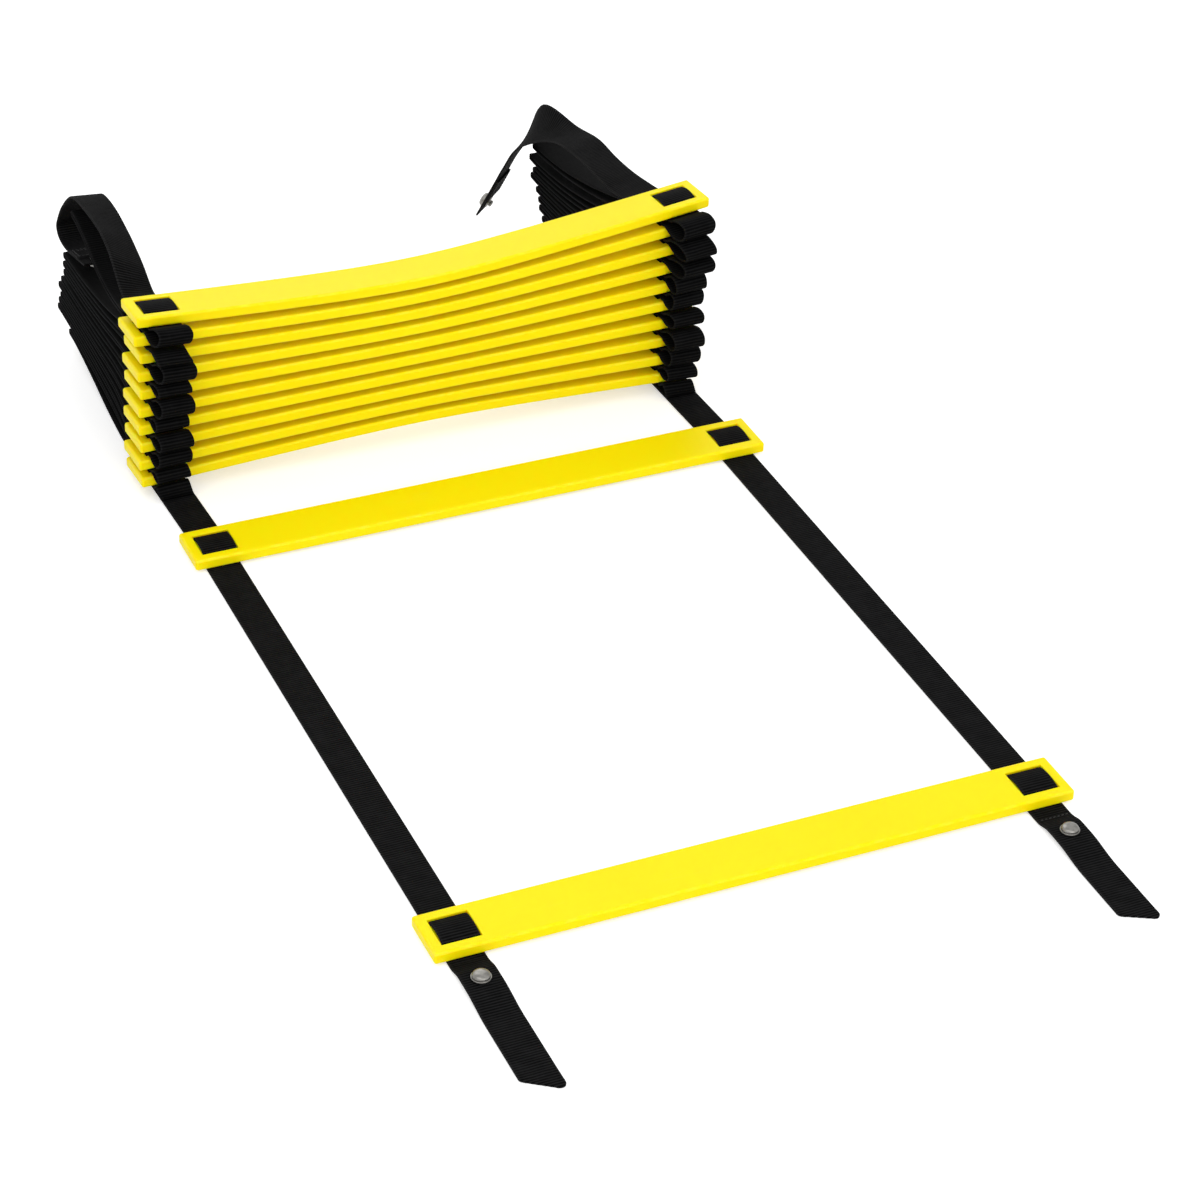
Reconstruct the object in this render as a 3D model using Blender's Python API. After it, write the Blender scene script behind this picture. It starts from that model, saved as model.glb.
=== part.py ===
"""An agility ladder: its first bay laid out flat, and its other ten rungs folded up in a stack."""

import math

import bmesh
import bpy
import numpy as np
from mathutils import Matrix, Vector

# Driving dimensions, in metres. X runs along the rungs, Y back along the straps, Z up.
# The ladder's own zero is the middle of the front rung, on the floor.
RUNG_COUNT = 12
FIRST_STACKED = 3
RUNG_LENGTH = 0.430
RUNG_WIDTH = 0.039
RUNG_THICKNESS = 0.008
RUNG_ROUNDING = 0.0018
RUNG_SPACING = 0.445
STACK_BEHIND = 0.1028
STACK_SHIFT = -0.003
# No stacked rung lies quite over the next: how far each is pushed sideways from the stack's middle
LAYER_SHIFT = 0.004
LAYER_SHIFT_SHARES = {
    3: -0.65,
    4: -0.95,
    5: -0.60,
    6: -0.65,
    7: -0.55,
    8: -0.15,
    9: -0.35,
    10: 0.15,
    11: -0.70,
    12: 0.00,
}

STRAP_WIDTH = 0.0245
STRAP_THICKNESS = 0.0015
STRAP_INSET = 0.020
GAP = 0.0003

# The window near each end of a rung: two slots and the sunk bridge between them
WINDOW_DEPTH = 0.0246
WINDOW_ACROSS = 0.0256
BRIDGE_WIDTH = 0.0178
BRIDGE_DROP = 0.0022
TURN_RADIUS = 0.002
UNDER_GAP = 0.0006
OVER_GAP = 0.0005
CROWN = 0.0005
JOIN_INSET = 0.004

# The stack
STACK_FIRST_HEIGHT = 0.0085
LAYER_PITCH_LEFT = 0.01395
LAYER_PITCH_RIGHT = 0.01534
BOW_HEIGHT_FIRST = -0.0074
BOW_HEIGHT_LAST = 0.01375
STACK_SLOPE_SHARE = 0.097
BOW_KNEE_SHARE = 0.35
RETURN_GAP = 0.0008

# The long loops behind the stack
LEG_SEPARATION = 0.0036
LOOP_LENGTH = 0.200
LOOP_HEIGHT = 0.080
DROOP_LENGTH_LEFT = 0.180
DROOP_LENGTH_RIGHT = 0.205
DROOP_POWER_LEFT_SHARE = 2
DROOP_POWER_RIGHT_SHARE = 1.6
TWIST_LENGTH = 0.055
LEFT_LOOP_SHARES = {
    2: (0.975, 0.250),
    3: (1.115, 0.344),
    4: (1.095, 0.437),
    5: (1.065, 0.530),
    6: (1.082, 0.615),
    7: (1.040, 0.725),
    8: (0.998, 0.850),
    9: (0.998, 0.940),
    10: (0.985, 1.045),
}
RIGHT_LOOP_SHARES = {
    2: (0.950, 0.163),
    3: (1.025, 0.319),
    4: (1.055, 0.425),
    5: (1.085, 0.512),
    6: (1.095, 0.594),
    7: (1.120, 0.675),
    8: (1.175, 0.762),
    9: (1.155, 0.844),
    10: (1.190, 0.944),
    11: (1.160, 1.100),
}
LEG_SHARES = (0.06, 0.16, 0.30, 0.48, 0.70, 0.90)
# The left top loop stands up inside the arch of the tail: its upper leg, behind the rung
TOP_LOOP_SHARES = ((0.146, 0.56), (0.396, 0.41), (0.618, 0.53), (0.782, 0.77), (0.93, 0.93), (1.04, 0.985))
TOP_LOOP_WIDTH = 0.140
TOP_LOOP_HEIGHT = 0.035
TOP_LOOP_BASE = 0.100

# The short rolls in front of the stack, each a share of the greatest reach
ROLL_DEPTH = 0.026
ROLL_SWELL = 0.004
LEFT_ROLL_SHARES = {
    2: 0.36,
    3: 0.44,
    4: 0.52,
    5: 0.62,
    6: 0.48,
    7: 0.68,
    8: 0.56,
    9: 0.72,
    10: 0.80,
    11: 0.66,
}
# How full each roll is, a share of ROLL_SWELL
LEFT_SWELL_SHARES = {
    2: 0.90,
    3: 0.80,
    4: 1.00,
    5: 1.15,
    6: 0.70,
    7: 1.25,
    8: 0.75,
    9: 1.30,
    10: 0.80,
    11: 1.15,
}
RIGHT_SWELL_SHARES = {
    2: 0.90,
    3: 0.85,
    4: 1.10,
    5: 1.20,
    6: 0.80,
    7: 1.00,
    8: 1.20,
    9: 0.85,
    10: 1.30,
    11: 1.15,
}
# How far each roll leans sideways at its front, a share of ROLL_LEAN
ROLL_LEAN = 0.0035
LEFT_LEAN_SHARES = {
    2: 0.0,
    3: 0.2,
    4: 0.5,
    5: 0.6,
    6: 0.1,
    7: 0.7,
    8: 0.4,
    9: 1.0,
    10: 0.1,
    11: 0.9,
}
RIGHT_LEAN_SHARES = {
    2: 0.0,
    3: 0.6,
    4: 0.6,
    5: 0.5,
    6: 0.9,
    7: 0.5,
    8: 0.3,
    9: 0.9,
    10: 1.0,
    11: 1.0,
}
RIGHT_ROLL_SHARES = {
    2: 0.36,
    3: 0.46,
    4: 0.60,
    5: 0.80,
    6: 0.58,
    7: 0.50,
    8: 0.68,
    9: 0.94,
    10: 1.00,
    11: 0.86,
}
ROLL_SHAPE_SHARES = (
    (0.00, 0.00, 0.00),
    (0.30, 0.00, -0.45),
    (0.65, 0.00, -0.72),
    (0.92, 0.10, -0.45),
    (1.00, 0.50, 0.10),
    (0.92, 0.88, 0.60),
    (0.65, 1.00, 1.00),
    (0.30, 1.00, 0.65),
    (0.06, 1.00, 0.05),
)

# The free ends
TAIL_HINGE_AHEAD = 0.00285
FRONT_TAIL_SHORT = 0.129
FRONT_TAIL_LONG = 0.143
FRONT_TAIL_SHORT_RIGHT = 0.1275
FRONT_TAIL_LONG_RIGHT = 0.140
FRONT_SNAP_LEFT = 0.0422
FRONT_SNAP_RIGHT = 0.0480
BASE_RUN_BEHIND = 0.060
REAR_TAIL_LENGTH = 0.200
# Left rear tail: how far back, how high above the top rung, and the tilt across the strap
LEFT_TAIL_SHARES = (
    (0.190, -0.024, 0.006),
    (0.250, -0.014, 0.020),
    (0.350, 0.046, 0.035),
    (0.435, 0.074, 0.036),
    (0.505, 0.086, 0.030),
    (0.650, 0.093, 0.015),
    (0.780, 0.080, 0.008),
    (0.860, 0.048, 0.004),
    (0.970, -0.042, 0.000),
    (1.040, -0.126, 0.000),
    (1.058, -0.165, 0.000),
    (1.030, -0.196, 0.000),
    (0.950, -0.199, 0.000),
    (0.825, -0.172, 0.000),
    (0.700, -0.142, 0.000),
)
# Right rear tail, inner edge and outer edge: sideways from the strap's line, back, up
RIGHT_TAIL_SHARES = (
    ((-0.060, 0.210, -0.064), (0.060, 0.210, -0.046)),
    ((-0.070, 0.330, -0.099), (0.050, 0.340, -0.064)),
    ((-0.080, 0.450, -0.101), (0.042, 0.450, -0.074)),
    ((-0.083, 0.598, -0.100), (0.040, 0.585, -0.082)),
    ((-0.085, 0.765, -0.114), (0.037, 0.745, -0.080)),
    ((-0.085, 0.905, -0.147), (0.034, 0.935, -0.116)),
    ((-0.097, 1.060, -0.221), (-0.010, 1.175, -0.121)),
    ((-0.114, 1.209, -0.321), (-0.024, 1.292, -0.316)),
    ((-0.150, 1.244, -0.409), (-0.060, 1.327, -0.404)),
    ((-0.176, 1.272, -0.487), (-0.086, 1.355, -0.482)),
    ((-0.215, 1.314, -0.604), (-0.125, 1.397, -0.599)),
    ((-0.228, 1.328, -0.643), (-0.138, 1.411, -0.638)),
)
REAR_SNAP_INSET = 0.0085

# The snaps
CAP_RADIUS = 0.0063
CAP_HEIGHT = 0.0042
CAP_RIM = 0.0010
POST_RADIUS = 0.0018
SNAP_HOLE_RADIUS = 0.0022
SOCKET_RADIUS = 0.0052
SOCKET_HEIGHT = 0.0024
SOCKET_BORE = 0.0027
STUD_BASE_RADIUS = 0.0048
STUD_HEAD_RADIUS = 0.0024
STUD_HEIGHT = 0.0034
STUD_BORE = 0.0021
SNAP_RISE_LENGTH = 0.0190
SNAP_FALL_LENGTH = 0.0360
SNAP_FLAT_LENGTH = 0.0058

# Shares and counts
ROUND_PROFILE_SHARE = 0.5
STATION_SHARES = (0.4833, 0.4237, 0.33, 0.22, 0.11, 0.0)
ARC_STEPS = 2
LOOP_ARC_STEPS = 4
TAIL_STEPS = 2
GAP_STEPS = 6
ROUND_STEPS = 24

# Derived
STRAP_OFFSET = RUNG_LENGTH / 2 - STRAP_INSET
STACK_DISTANCE = RUNG_SPACING + STACK_BEHIND
HALF_WIDTH = RUNG_WIDTH / 2
HALF_STRAP = STRAP_WIDTH / 2
FLOOR_RUNG_HEIGHT = STRAP_THICKNESS + GAP
FLAT = STRAP_THICKNESS / 2
UNDER = -(UNDER_GAP + FLAT)
OVER = RUNG_THICKNESS - BRIDGE_DROP + OVER_GAP + FLAT
RETURN = RUNG_THICKNESS + RETURN_GAP + FLAT
SLOT_LINE = (WINDOW_DEPTH + BRIDGE_WIDTH) / 4
TAIL_HINGE = -(HALF_WIDTH + TAIL_HINGE_AHEAD)
BAY_HINGE = RUNG_SPACING - HALF_WIDTH - TAIL_HINGE_AHEAD
BASE_RUN_END = STACK_DISTANCE + BASE_RUN_BEHIND
HALF_GAP = GAP / 2
SIDES = {"left": -1, "right": 1}


def clear_scene():
    for found in list(bpy.data.objects):
        bpy.data.objects.remove(found, do_unlink=True)


def material(name, colour, roughness, metallic):
    made = bpy.data.materials.new(name)
    made.use_nodes = True
    shader = made.node_tree.nodes["Principled BSDF"]
    shader.inputs["Base Color"].default_value = (*colour, 1)
    shader.inputs["Roughness"].default_value = roughness
    shader.inputs["Metallic"].default_value = metallic
    return made


def eased(share):
    """A share from 0 to 1 that starts and ends level."""
    return share * share * (3 - 2 * share)


def bow(x):
    """1 at the middle of a rung and 0 at the strap's line."""
    share = x / STRAP_OFFSET
    top = math.sqrt(1 + BOW_KNEE_SHARE**2) - BOW_KNEE_SHARE
    return 1 - (math.sqrt(share * share + BOW_KNEE_SHARE**2) - BOW_KNEE_SHARE) / top


def layer_height(layer, x, y):
    """Height of a stacked rung's underside: x from the stack's middle, y from its middle line."""
    count = layer - FIRST_STACKED
    share = x / STRAP_OFFSET
    pitch = (LAYER_PITCH_LEFT + LAYER_PITCH_RIGHT) / 2 + (LAYER_PITCH_RIGHT - LAYER_PITCH_LEFT) / 2 * share
    sag = BOW_HEIGHT_FIRST + count / (RUNG_COUNT - FIRST_STACKED) * (BOW_HEIGHT_LAST - BOW_HEIGHT_FIRST)
    along = max(-HALF_WIDTH, min(HALF_WIDTH, y))
    return STACK_FIRST_HEIGHT + count * pitch - sag * bow(x) - STACK_SLOPE_SHARE * along


def layer_shift(layer):
    """Sideways place of a stacked rung and of the strap through it."""
    return STACK_SHIFT + LAYER_SHIFT_SHARES.get(layer, 0) * LAYER_SHIFT


def new_object(name, mesh, slot, origin):
    mesh.materials.clear()
    mesh.materials.append(slot)
    made = bpy.data.objects.new(name, mesh)
    bpy.context.scene.collection.objects.link(made)
    place = Vector(origin)
    mesh.transform(Matrix.Translation(-place))
    made.location = place
    return made


# Strips of webbing


def strip_mesh(name, edges):
    """A flat strip of the strap's thickness between two edges: a list of (left point, right point)."""
    left = np.array([pair[0] for pair in edges])
    right = np.array([pair[1] for pair in edges])
    middle = (left + right) / 2
    along = np.gradient(middle, axis=0)
    along[0] = middle[1] - middle[0]
    along[-1] = middle[-1] - middle[-2]
    steps = np.diff(middle, axis=0)
    steps /= np.linalg.norm(steps, axis=1)[:, None]
    along[1:-1] = steps[1:] + steps[:-1]
    across = right - left
    normal = np.cross(across, along)
    normal /= np.linalg.norm(normal, axis=1)[:, None]
    # The inner corner of a bend keeps the strap's thickness
    along /= np.linalg.norm(along, axis=1)[:, None]
    bend = np.ones(len(edges))
    bend[1:-1] = 1 / np.clip(np.einsum("ij,ij->i", steps[1:], along[1:-1]), 0.7, 1)
    offset = normal * (FLAT * bend)[:, None]
    rings = np.stack([left - offset, right - offset, right + offset, left + offset], axis=1)
    mesh = bpy.data.meshes.new(name)
    points = rings.reshape(-1, 3).tolist()
    faces = [(0, 3, 2, 1)]
    for step in range(len(edges) - 1):
        here, there = 4 * step, 4 * step + 4
        for side in range(4):
            after = (side + 1) % 4
            faces.append((here + side, here + after, there + after, there + side))
    last = 4 * (len(edges) - 1)
    faces.append((last, last + 1, last + 2, last + 3))
    mesh.from_pydata(points, [], faces)
    tidy = bmesh.new()
    tidy.from_mesh(mesh)
    bmesh.ops.recalc_face_normals(tidy, faces=tidy.faces)
    bmesh.ops.triangulate(tidy, faces=tidy.faces)
    tidy.to_mesh(mesh)
    tidy.free()
    return mesh


def quarter(centre_y, centre_z, radius, first, last):
    """Points of an arc in the Y-Z plane, from one angle to another in degrees, ends included."""
    angles = np.radians(np.linspace(first, last, ARC_STEPS + 1))
    return [(centre_y + radius * math.cos(a), centre_z + radius * math.sin(a)) for a in angles]


def hump_path(from_under):
    """The strap's way through a window: up the front slot, over the bridge, down the rear slot."""
    bend = TURN_RADIUS
    rising = quarter(-(SLOT_LINE + bend), UNDER + bend, bend, -90, 0) if from_under else [(-SLOT_LINE, FLAT)]
    turning = quarter(-(SLOT_LINE - bend), OVER - bend, bend, 180, 90)
    half = rising + turning + [(-(SLOT_LINE - bend) / 2, OVER + CROWN * 3 / 4)]
    if from_under:
        half = [(-(HALF_WIDTH - JOIN_INSET), UNDER)] + half
    else:
        half[0] = (-SLOT_LINE, 0)
    return half + [(0, OVER + CROWN)] + [(-y, z) for y, z in reversed(half)]


def edge_pair(side, y, left_z, right_z, shift):
    centre = side * STRAP_OFFSET + shift
    place = STACK_DISTANCE + y
    return ((centre - HALF_STRAP, place, left_z), (centre + HALF_STRAP, place, right_z))


def on_layer(side, y, layer, rise, hold=1.0, height=None):
    """An edge pair that follows a layer's tilt by the share hold, at a given height or on the layer."""
    centre = side * STRAP_OFFSET
    here = layer_height(layer, centre, y)
    middle = here + rise if height is None else height
    left = middle + hold * (layer_height(layer, centre - HALF_STRAP, y) - here)
    right = middle + hold * (layer_height(layer, centre + HALF_STRAP, y) - here)
    shift = STACK_SHIFT + (layer_shift(layer) - STACK_SHIFT) * tilt_hold(y)
    return edge_pair(side, y, left, right, shift)


def droop(y, side):
    length = DROOP_LENGTH_LEFT if side < 0 else DROOP_LENGTH_RIGHT
    power = DROOP_POWER_LEFT_SHARE if side < 0 else DROOP_POWER_RIGHT_SHARE
    share = max(0, min(1, (y - HALF_WIDTH) / length))
    return 1 - (1 - share) ** power


def tilt_hold(y):
    share = max(0, min(1, (y - HALF_WIDTH) / TWIST_LENGTH))
    return 1 - eased(share)


def loop_stations(side, layer):
    """The long loop behind layer: down its lower leg, round the end and back along the upper leg."""
    table = LEFT_LOOP_SHARES if side < 0 else RIGHT_LOOP_SHARES
    reach = table[layer][0] * LOOP_LENGTH
    height = table[layer][1] * LOOP_HEIGHT
    centre = side * STRAP_OFFSET
    half = LEG_SEPARATION / 2
    lower = layer_height(layer, centre, HALF_WIDTH) + UNDER
    upper = layer_height(layer, centre, HALF_WIDTH) + RETURN
    if layer < FIRST_STACKED:
        lower = FLAT
        upper = STRAP_THICKNESS + GAP + FLAT
    stop = reach - half
    start = HALF_WIDTH
    leg = [start + share * (stop - start) for share in LEG_SHARES]
    made = []
    for y in leg:
        if layer < FIRST_STACKED:
            share = (y - BASE_RUN_BEHIND) / (stop - BASE_RUN_BEHIND)
            if share <= 0:
                continue
            z = lower + (height - half - lower) * eased(share)
            made.append(on_layer(side, y, layer, 0, 0, z))
        else:
            z = lower + (height - half - lower) * droop(y, side)
            made.append(on_layer(side, y, layer, 0, tilt_hold(y), z))
    for angle in np.radians(np.linspace(-90, 90, LOOP_ARC_STEPS + 1)):
        y = stop + half * math.cos(angle)
        made.append(on_layer(side, y, layer, 0, 0, height + half * math.sin(angle)))
    for y in reversed(leg):
        z = upper + (height + half - upper) * droop(y, side)
        hold = tilt_hold(y) if layer >= FIRST_STACKED else 0
        made.append(on_layer(side, y, layer, 0, hold, z))
    return made


def top_left_loop_stations():
    """The top loop on the left, which stands up inside the arch of the rear tail."""
    side = -1
    layer = RUNG_COUNT - 1
    upper = [
        (HALF_WIDTH + share * TOP_LOOP_WIDTH, TOP_LOOP_BASE + rise * TOP_LOOP_HEIGHT)
        for share, rise in TOP_LOOP_SHARES
    ]
    path = np.array(upper)
    steps = np.gradient(path, axis=0)
    steps /= np.linalg.norm(steps, axis=1)[:, None]
    lower = path - np.stack([-steps[:, 1], steps[:, 0]], axis=1) * LEG_SEPARATION
    end = (path[-1] + lower[-1]) / 2
    out = steps[-1]
    up = (path[-1] - lower[-1]) / 2
    made = [on_layer(side, y, layer, 0, tilt_hold(y), z) for y, z in lower[:-1]]
    for angle in np.radians(np.linspace(-90, 90, LOOP_ARC_STEPS + 1)):
        point = end + out * math.cos(angle) * LEG_SEPARATION / 2 + up * math.sin(angle)
        made.append(on_layer(side, point[0], layer, 0, 0, point[1]))
    made += [on_layer(side, y, layer, 0, tilt_hold(y), z) for y, z in reversed(path[:-1])]
    return made


def roll_stations(side, layer):
    """From over a rung to under the next one: out in front of the stack and back."""
    table = LEFT_ROLL_SHARES if side < 0 else RIGHT_ROLL_SHARES
    leans = LEFT_LEAN_SHARES if side < 0 else RIGHT_LEAN_SHARES
    swells = LEFT_SWELL_SHARES if side < 0 else RIGHT_SWELL_SHARES
    reach = table[layer] * ROLL_DEPTH
    aside = layer_shift(layer + 1) - layer_shift(layer)
    made = []
    for out, mix, swell in ROLL_SHAPE_SHARES:
        y = -HALF_WIDTH - out * reach
        if layer < FIRST_STACKED and mix < 0.4:
            swell = 0
        ends = []
        for edge in (-HALF_STRAP, HALF_STRAP):
            x = side * STRAP_OFFSET + edge
            if layer < FIRST_STACKED:
                low = STRAP_THICKNESS + GAP + FLAT
            else:
                low = layer_height(layer, x, y) + RETURN
            high = layer_height(layer + 1, x, y) + UNDER
            ends.append(low + mix * (high - low) + swell * swells[layer] * ROLL_SWELL)
        shift = layer_shift(layer) + mix * aside + out * out * leans[layer] * ROLL_LEAN
        made.append(edge_pair(side, y, *ends, shift))
    y = -(HALF_WIDTH - JOIN_INSET) - GAP
    made.append(on_layer(side, y, layer + 1, UNDER))
    return made


def fold_stations(side, layer):
    """One fold of the strap: through a rung, round the loop behind it, back over it and round in front."""
    made = []
    if layer >= FIRST_STACKED:
        made += [on_layer(side, y, layer, z) for y, z in hump_path(True)]
        made[-1] = on_layer(side, HALF_WIDTH, layer, UNDER)
        standing = side < 0 and layer == RUNG_COUNT - 1
        made += top_left_loop_stations() if standing else loop_stations(side, layer)
        made += [on_layer(side, HALF_WIDTH, layer, RETURN)]
    else:
        start = BASE_RUN_BEHIND + GAP
        made += [on_layer(side, start, layer, 0, 0, FLAT)]
        made += loop_stations(side, layer)
        made += [on_layer(side, HALF_WIDTH, layer, 0, 0, STRAP_THICKNESS + GAP + FLAT)]
    return made + roll_stations(side, layer)


def smoothed(points, steps):
    """A curve through all the points (Catmull and Rom's), with a number of steps in each span."""
    points = np.array(points, float)
    padded = np.concatenate([[2 * points[0] - points[1]], points, [2 * points[-1] - points[-2]]])
    made = []
    for i in range(1, len(padded) - 2):
        before, here, there, after = padded[i - 1 : i + 3]
        for step in range(steps):
            t = step / steps
            made.append(
                here
                + (there - before) / 2 * t
                + (2 * before - 5 * here + 4 * there - after) / 2 * t * t
                + (3 * here - before - 3 * there + after) / 2 * t * t * t
            )
    made.append(points[-1])
    return np.array(made)


def rear_tail_stations(side):
    """The strap through the top rung and its free end behind the stack."""
    layer = RUNG_COUNT
    made = [on_layer(side, y, layer, z) for y, z in hump_path(True)]
    made[-1] = on_layer(side, HALF_WIDTH, layer, UNDER)
    centre = side * STRAP_OFFSET
    level = layer_height(layer, centre, HALF_WIDTH)
    first = made[-1]
    rows = [(*first[0], *first[1])]
    if side < 0:
        for back, up, tilt in LEFT_TAIL_SHARES:
            y, z, rise = back * REAR_TAIL_LENGTH, level + up * REAR_TAIL_LENGTH, tilt * REAR_TAIL_LENGTH
            pair = edge_pair(side, y, z + rise, z - rise, layer_shift(layer))
            rows.append((*pair[0], *pair[1]))
    else:
        for inner, outer in RIGHT_TAIL_SHARES:
            row = []
            for across, back, up in (inner, outer):
                row += [
                    centre + layer_shift(layer) + across * REAR_TAIL_LENGTH,
                    STACK_DISTANCE + back * REAR_TAIL_LENGTH,
                    level + up * REAR_TAIL_LENGTH,
                ]
            rows.append(tuple(row))
    curve = smoothed(rows, TAIL_STEPS)
    return made[:-1] + [(tuple(row[:3]), tuple(row[3:])) for row in curve]


def own_gap(edges):
    """The least gap of a folded strip to itself, measured on points along its two edges and its middle."""
    left = np.array([pair[0] for pair in edges])
    right = np.array([pair[1] for pair in edges])
    least = math.inf
    for share in (0, 0.5, 1):
        line = smoothed(left + share * (right - left), GAP_STEPS)
        length = np.concatenate([[0], np.cumsum(np.linalg.norm(np.diff(line, axis=0), axis=1))])
        apart = np.linalg.norm(line[:, None] - line[None], axis=2)
        far = np.abs(length[:, None] - length[None]) > math.pi * LEG_SEPARATION
        least = min(least, apart[far].min())
    return least - STRAP_THICKNESS


# Snaps: an outline turned about its own axis, its base at zero


def turned_mesh(name, outline):
    shape = bmesh.new()
    points = [shape.verts.new((radius, 0, height)) for radius, height in outline]
    lines = [shape.edges.new((points[i], points[(i + 1) % len(points)])) for i in range(len(points))]
    bmesh.ops.spin(
        shape,
        geom=points + lines,
        axis=(0, 0, 1),
        cent=(0, 0, 0),
        angle=math.tau,
        steps=ROUND_STEPS,
        use_merge=True,
        use_normal_flip=False,
    )
    bmesh.ops.remove_doubles(shape, verts=shape.verts, dist=GAP / 100)
    loose = [edge for edge in shape.edges if not edge.link_faces]
    bmesh.ops.delete(shape, geom=loose, context="EDGES")
    flat = [face for face in shape.faces if face.calc_area() < (GAP / 100) ** 2]
    bmesh.ops.delete(shape, geom=flat, context="FACES")
    bmesh.ops.recalc_face_normals(shape, faces=shape.faces)
    bmesh.ops.triangulate(shape, faces=shape.faces)
    mesh = bpy.data.meshes.new(name)
    shape.to_mesh(mesh)
    shape.free()
    mesh.shade_smooth()
    return mesh


def cap_outline(post_length):
    """A domed cap and its post, seated on the plane z = 0 with the post below it."""
    rise = CAP_HEIGHT - CAP_RIM
    dome = [
        (CAP_RADIUS * math.cos(angle), CAP_RIM + rise * math.sin(angle))
        for angle in np.radians((0, 20, 45, 70))
    ]
    post = [(0, -post_length), (POST_RADIUS, -post_length), (POST_RADIUS, 0), (CAP_RADIUS, 0)]
    return post + dome + [(0, CAP_HEIGHT)]


def socket_outline():
    lip = SOCKET_HEIGHT / 4
    return [
        (SOCKET_BORE, 0),
        (SOCKET_RADIUS - lip, 0),
        (SOCKET_RADIUS, lip),
        (SOCKET_RADIUS, SOCKET_HEIGHT - lip),
        (SOCKET_RADIUS - lip, SOCKET_HEIGHT),
        (SOCKET_BORE, SOCKET_HEIGHT),
    ]


def stud_outline():
    """A stud ring: a wide base against the strap at z = 0 and its head below."""
    base = STUD_HEIGHT / 4
    return [
        (STUD_BORE, 0),
        (STUD_BASE_RADIUS, 0),
        (STUD_BASE_RADIUS, -base),
        (STUD_HEAD_RADIUS + base / 4, -base),
        (STUD_HEAD_RADIUS, -2 * base),
        (STUD_HEAD_RADIUS + base / 2, -3 * base),
        (STUD_HEAD_RADIUS, -STUD_HEIGHT),
        (STUD_BORE, -STUD_HEIGHT),
    ]


def frame_at(point, across, along):
    """A matrix whose Z is the strap's upper face there, and whose origin is on the strap's middle."""
    across = Vector(across).normalized()
    up = across.cross(Vector(along).normalized()).normalized()
    ahead = up.cross(across)
    turn = Matrix((across, ahead, up)).transposed().to_4x4()
    return Matrix.Translation(Vector(point)) @ turn


def drilled(mesh, frame):
    """The strip with a snap's hole through it."""
    strap = bpy.data.objects.new("strap", mesh)
    bpy.context.scene.collection.objects.link(strap)
    drill_mesh = bpy.data.meshes.new("drill")
    shape = bmesh.new()
    bmesh.ops.create_cone(
        shape,
        cap_ends=True,
        segments=ROUND_STEPS,
        radius1=SNAP_HOLE_RADIUS,
        radius2=SNAP_HOLE_RADIUS,
        depth=STRAP_WIDTH / 3,
    )
    shape.to_mesh(drill_mesh)
    shape.free()
    drill_mesh.transform(frame)
    drill = bpy.data.objects.new("drill", drill_mesh)
    bpy.context.scene.collection.objects.link(drill)
    cut = strap.modifiers.new("hole", "BOOLEAN")
    cut.operation = "DIFFERENCE"
    cut.solver = "EXACT"
    cut.object = drill
    return baked(strap, drill)


def baked(target, cutter):
    """The target's mesh with its modifiers applied; both helper objects are removed."""
    bpy.context.view_layer.update()
    graph = bpy.context.evaluated_depsgraph_get()
    made = bpy.data.meshes.new_from_object(target.evaluated_get(graph))
    bpy.data.objects.remove(target, do_unlink=True)
    bpy.data.objects.remove(cutter, do_unlink=True)
    tidy = bmesh.new()
    tidy.from_mesh(made)
    bmesh.ops.triangulate(tidy, faces=tidy.faces)
    tidy.to_mesh(made)
    tidy.free()
    return made


# Rungs


def window_cutter():
    """Both windows of a rung: a bridge's space over it and a slot on each side of it."""
    low = -RUNG_THICKNESS / 2
    high = RUNG_THICKNESS * 3 / 2
    deep = WINDOW_DEPTH / 2
    inner = BRIDGE_WIDTH / 2
    sill = RUNG_THICKNESS - BRIDGE_DROP
    profile = [
        (-deep, low),
        (-deep, high),
        (deep, high),
        (deep, low),
        (inner, low),
        (inner, sill),
        (-inner, sill),
        (-inner, low),
    ]
    shape = bmesh.new()
    for side in SIDES.values():
        ends = []
        for edge in (-1, 1):
            x = side * STRAP_OFFSET + edge * WINDOW_ACROSS / 2
            ends.append([shape.verts.new((x, y, z)) for y, z in profile])
        shape.faces.new(ends[0])
        shape.faces.new(list(reversed(ends[1])))
        for i in range(len(profile)):
            after = (i + 1) % len(profile)
            shape.faces.new((ends[0][after], ends[0][i], ends[1][i], ends[1][after]))
    bmesh.ops.recalc_face_normals(shape, faces=shape.faces)
    mesh = bpy.data.meshes.new("windows")
    shape.to_mesh(mesh)
    shape.free()
    made = bpy.data.objects.new("windows", mesh)
    bpy.context.scene.collection.objects.link(made)
    return made


def plain_rung():
    """A flat rung with its windows, its underside on z = 0."""
    shape = bmesh.new()
    bmesh.ops.create_cube(shape, size=1)
    for point in shape.verts:
        point.co.x *= RUNG_LENGTH
        point.co.y *= RUNG_WIDTH
        point.co.z = RUNG_THICKNESS if point.co.z > 0 else 0
    bmesh.ops.bevel(
        shape,
        geom=list(shape.edges),
        offset=RUNG_ROUNDING,
        segments=2,
        profile=ROUND_PROFILE_SHARE,
        affect="EDGES",
        clamp_overlap=True,
    )
    for share in STATION_SHARES:
        for side in (-1, 1) if share else (1,):
            bmesh.ops.bisect_plane(
                shape,
                geom=list(shape.verts) + list(shape.edges) + list(shape.faces),
                plane_co=(side * share * RUNG_LENGTH, 0, 0),
                plane_no=(1, 0, 0),
            )
    mesh = bpy.data.meshes.new("rung")
    shape.to_mesh(mesh)
    shape.free()
    made = bpy.data.objects.new("rung", mesh)
    bpy.context.scene.collection.objects.link(made)
    cutter = window_cutter()
    cut = made.modifiers.new("windows", "BOOLEAN")
    cut.operation = "DIFFERENCE"
    cut.solver = "EXACT"
    cut.object = cutter
    return baked(made, cutter)


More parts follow.
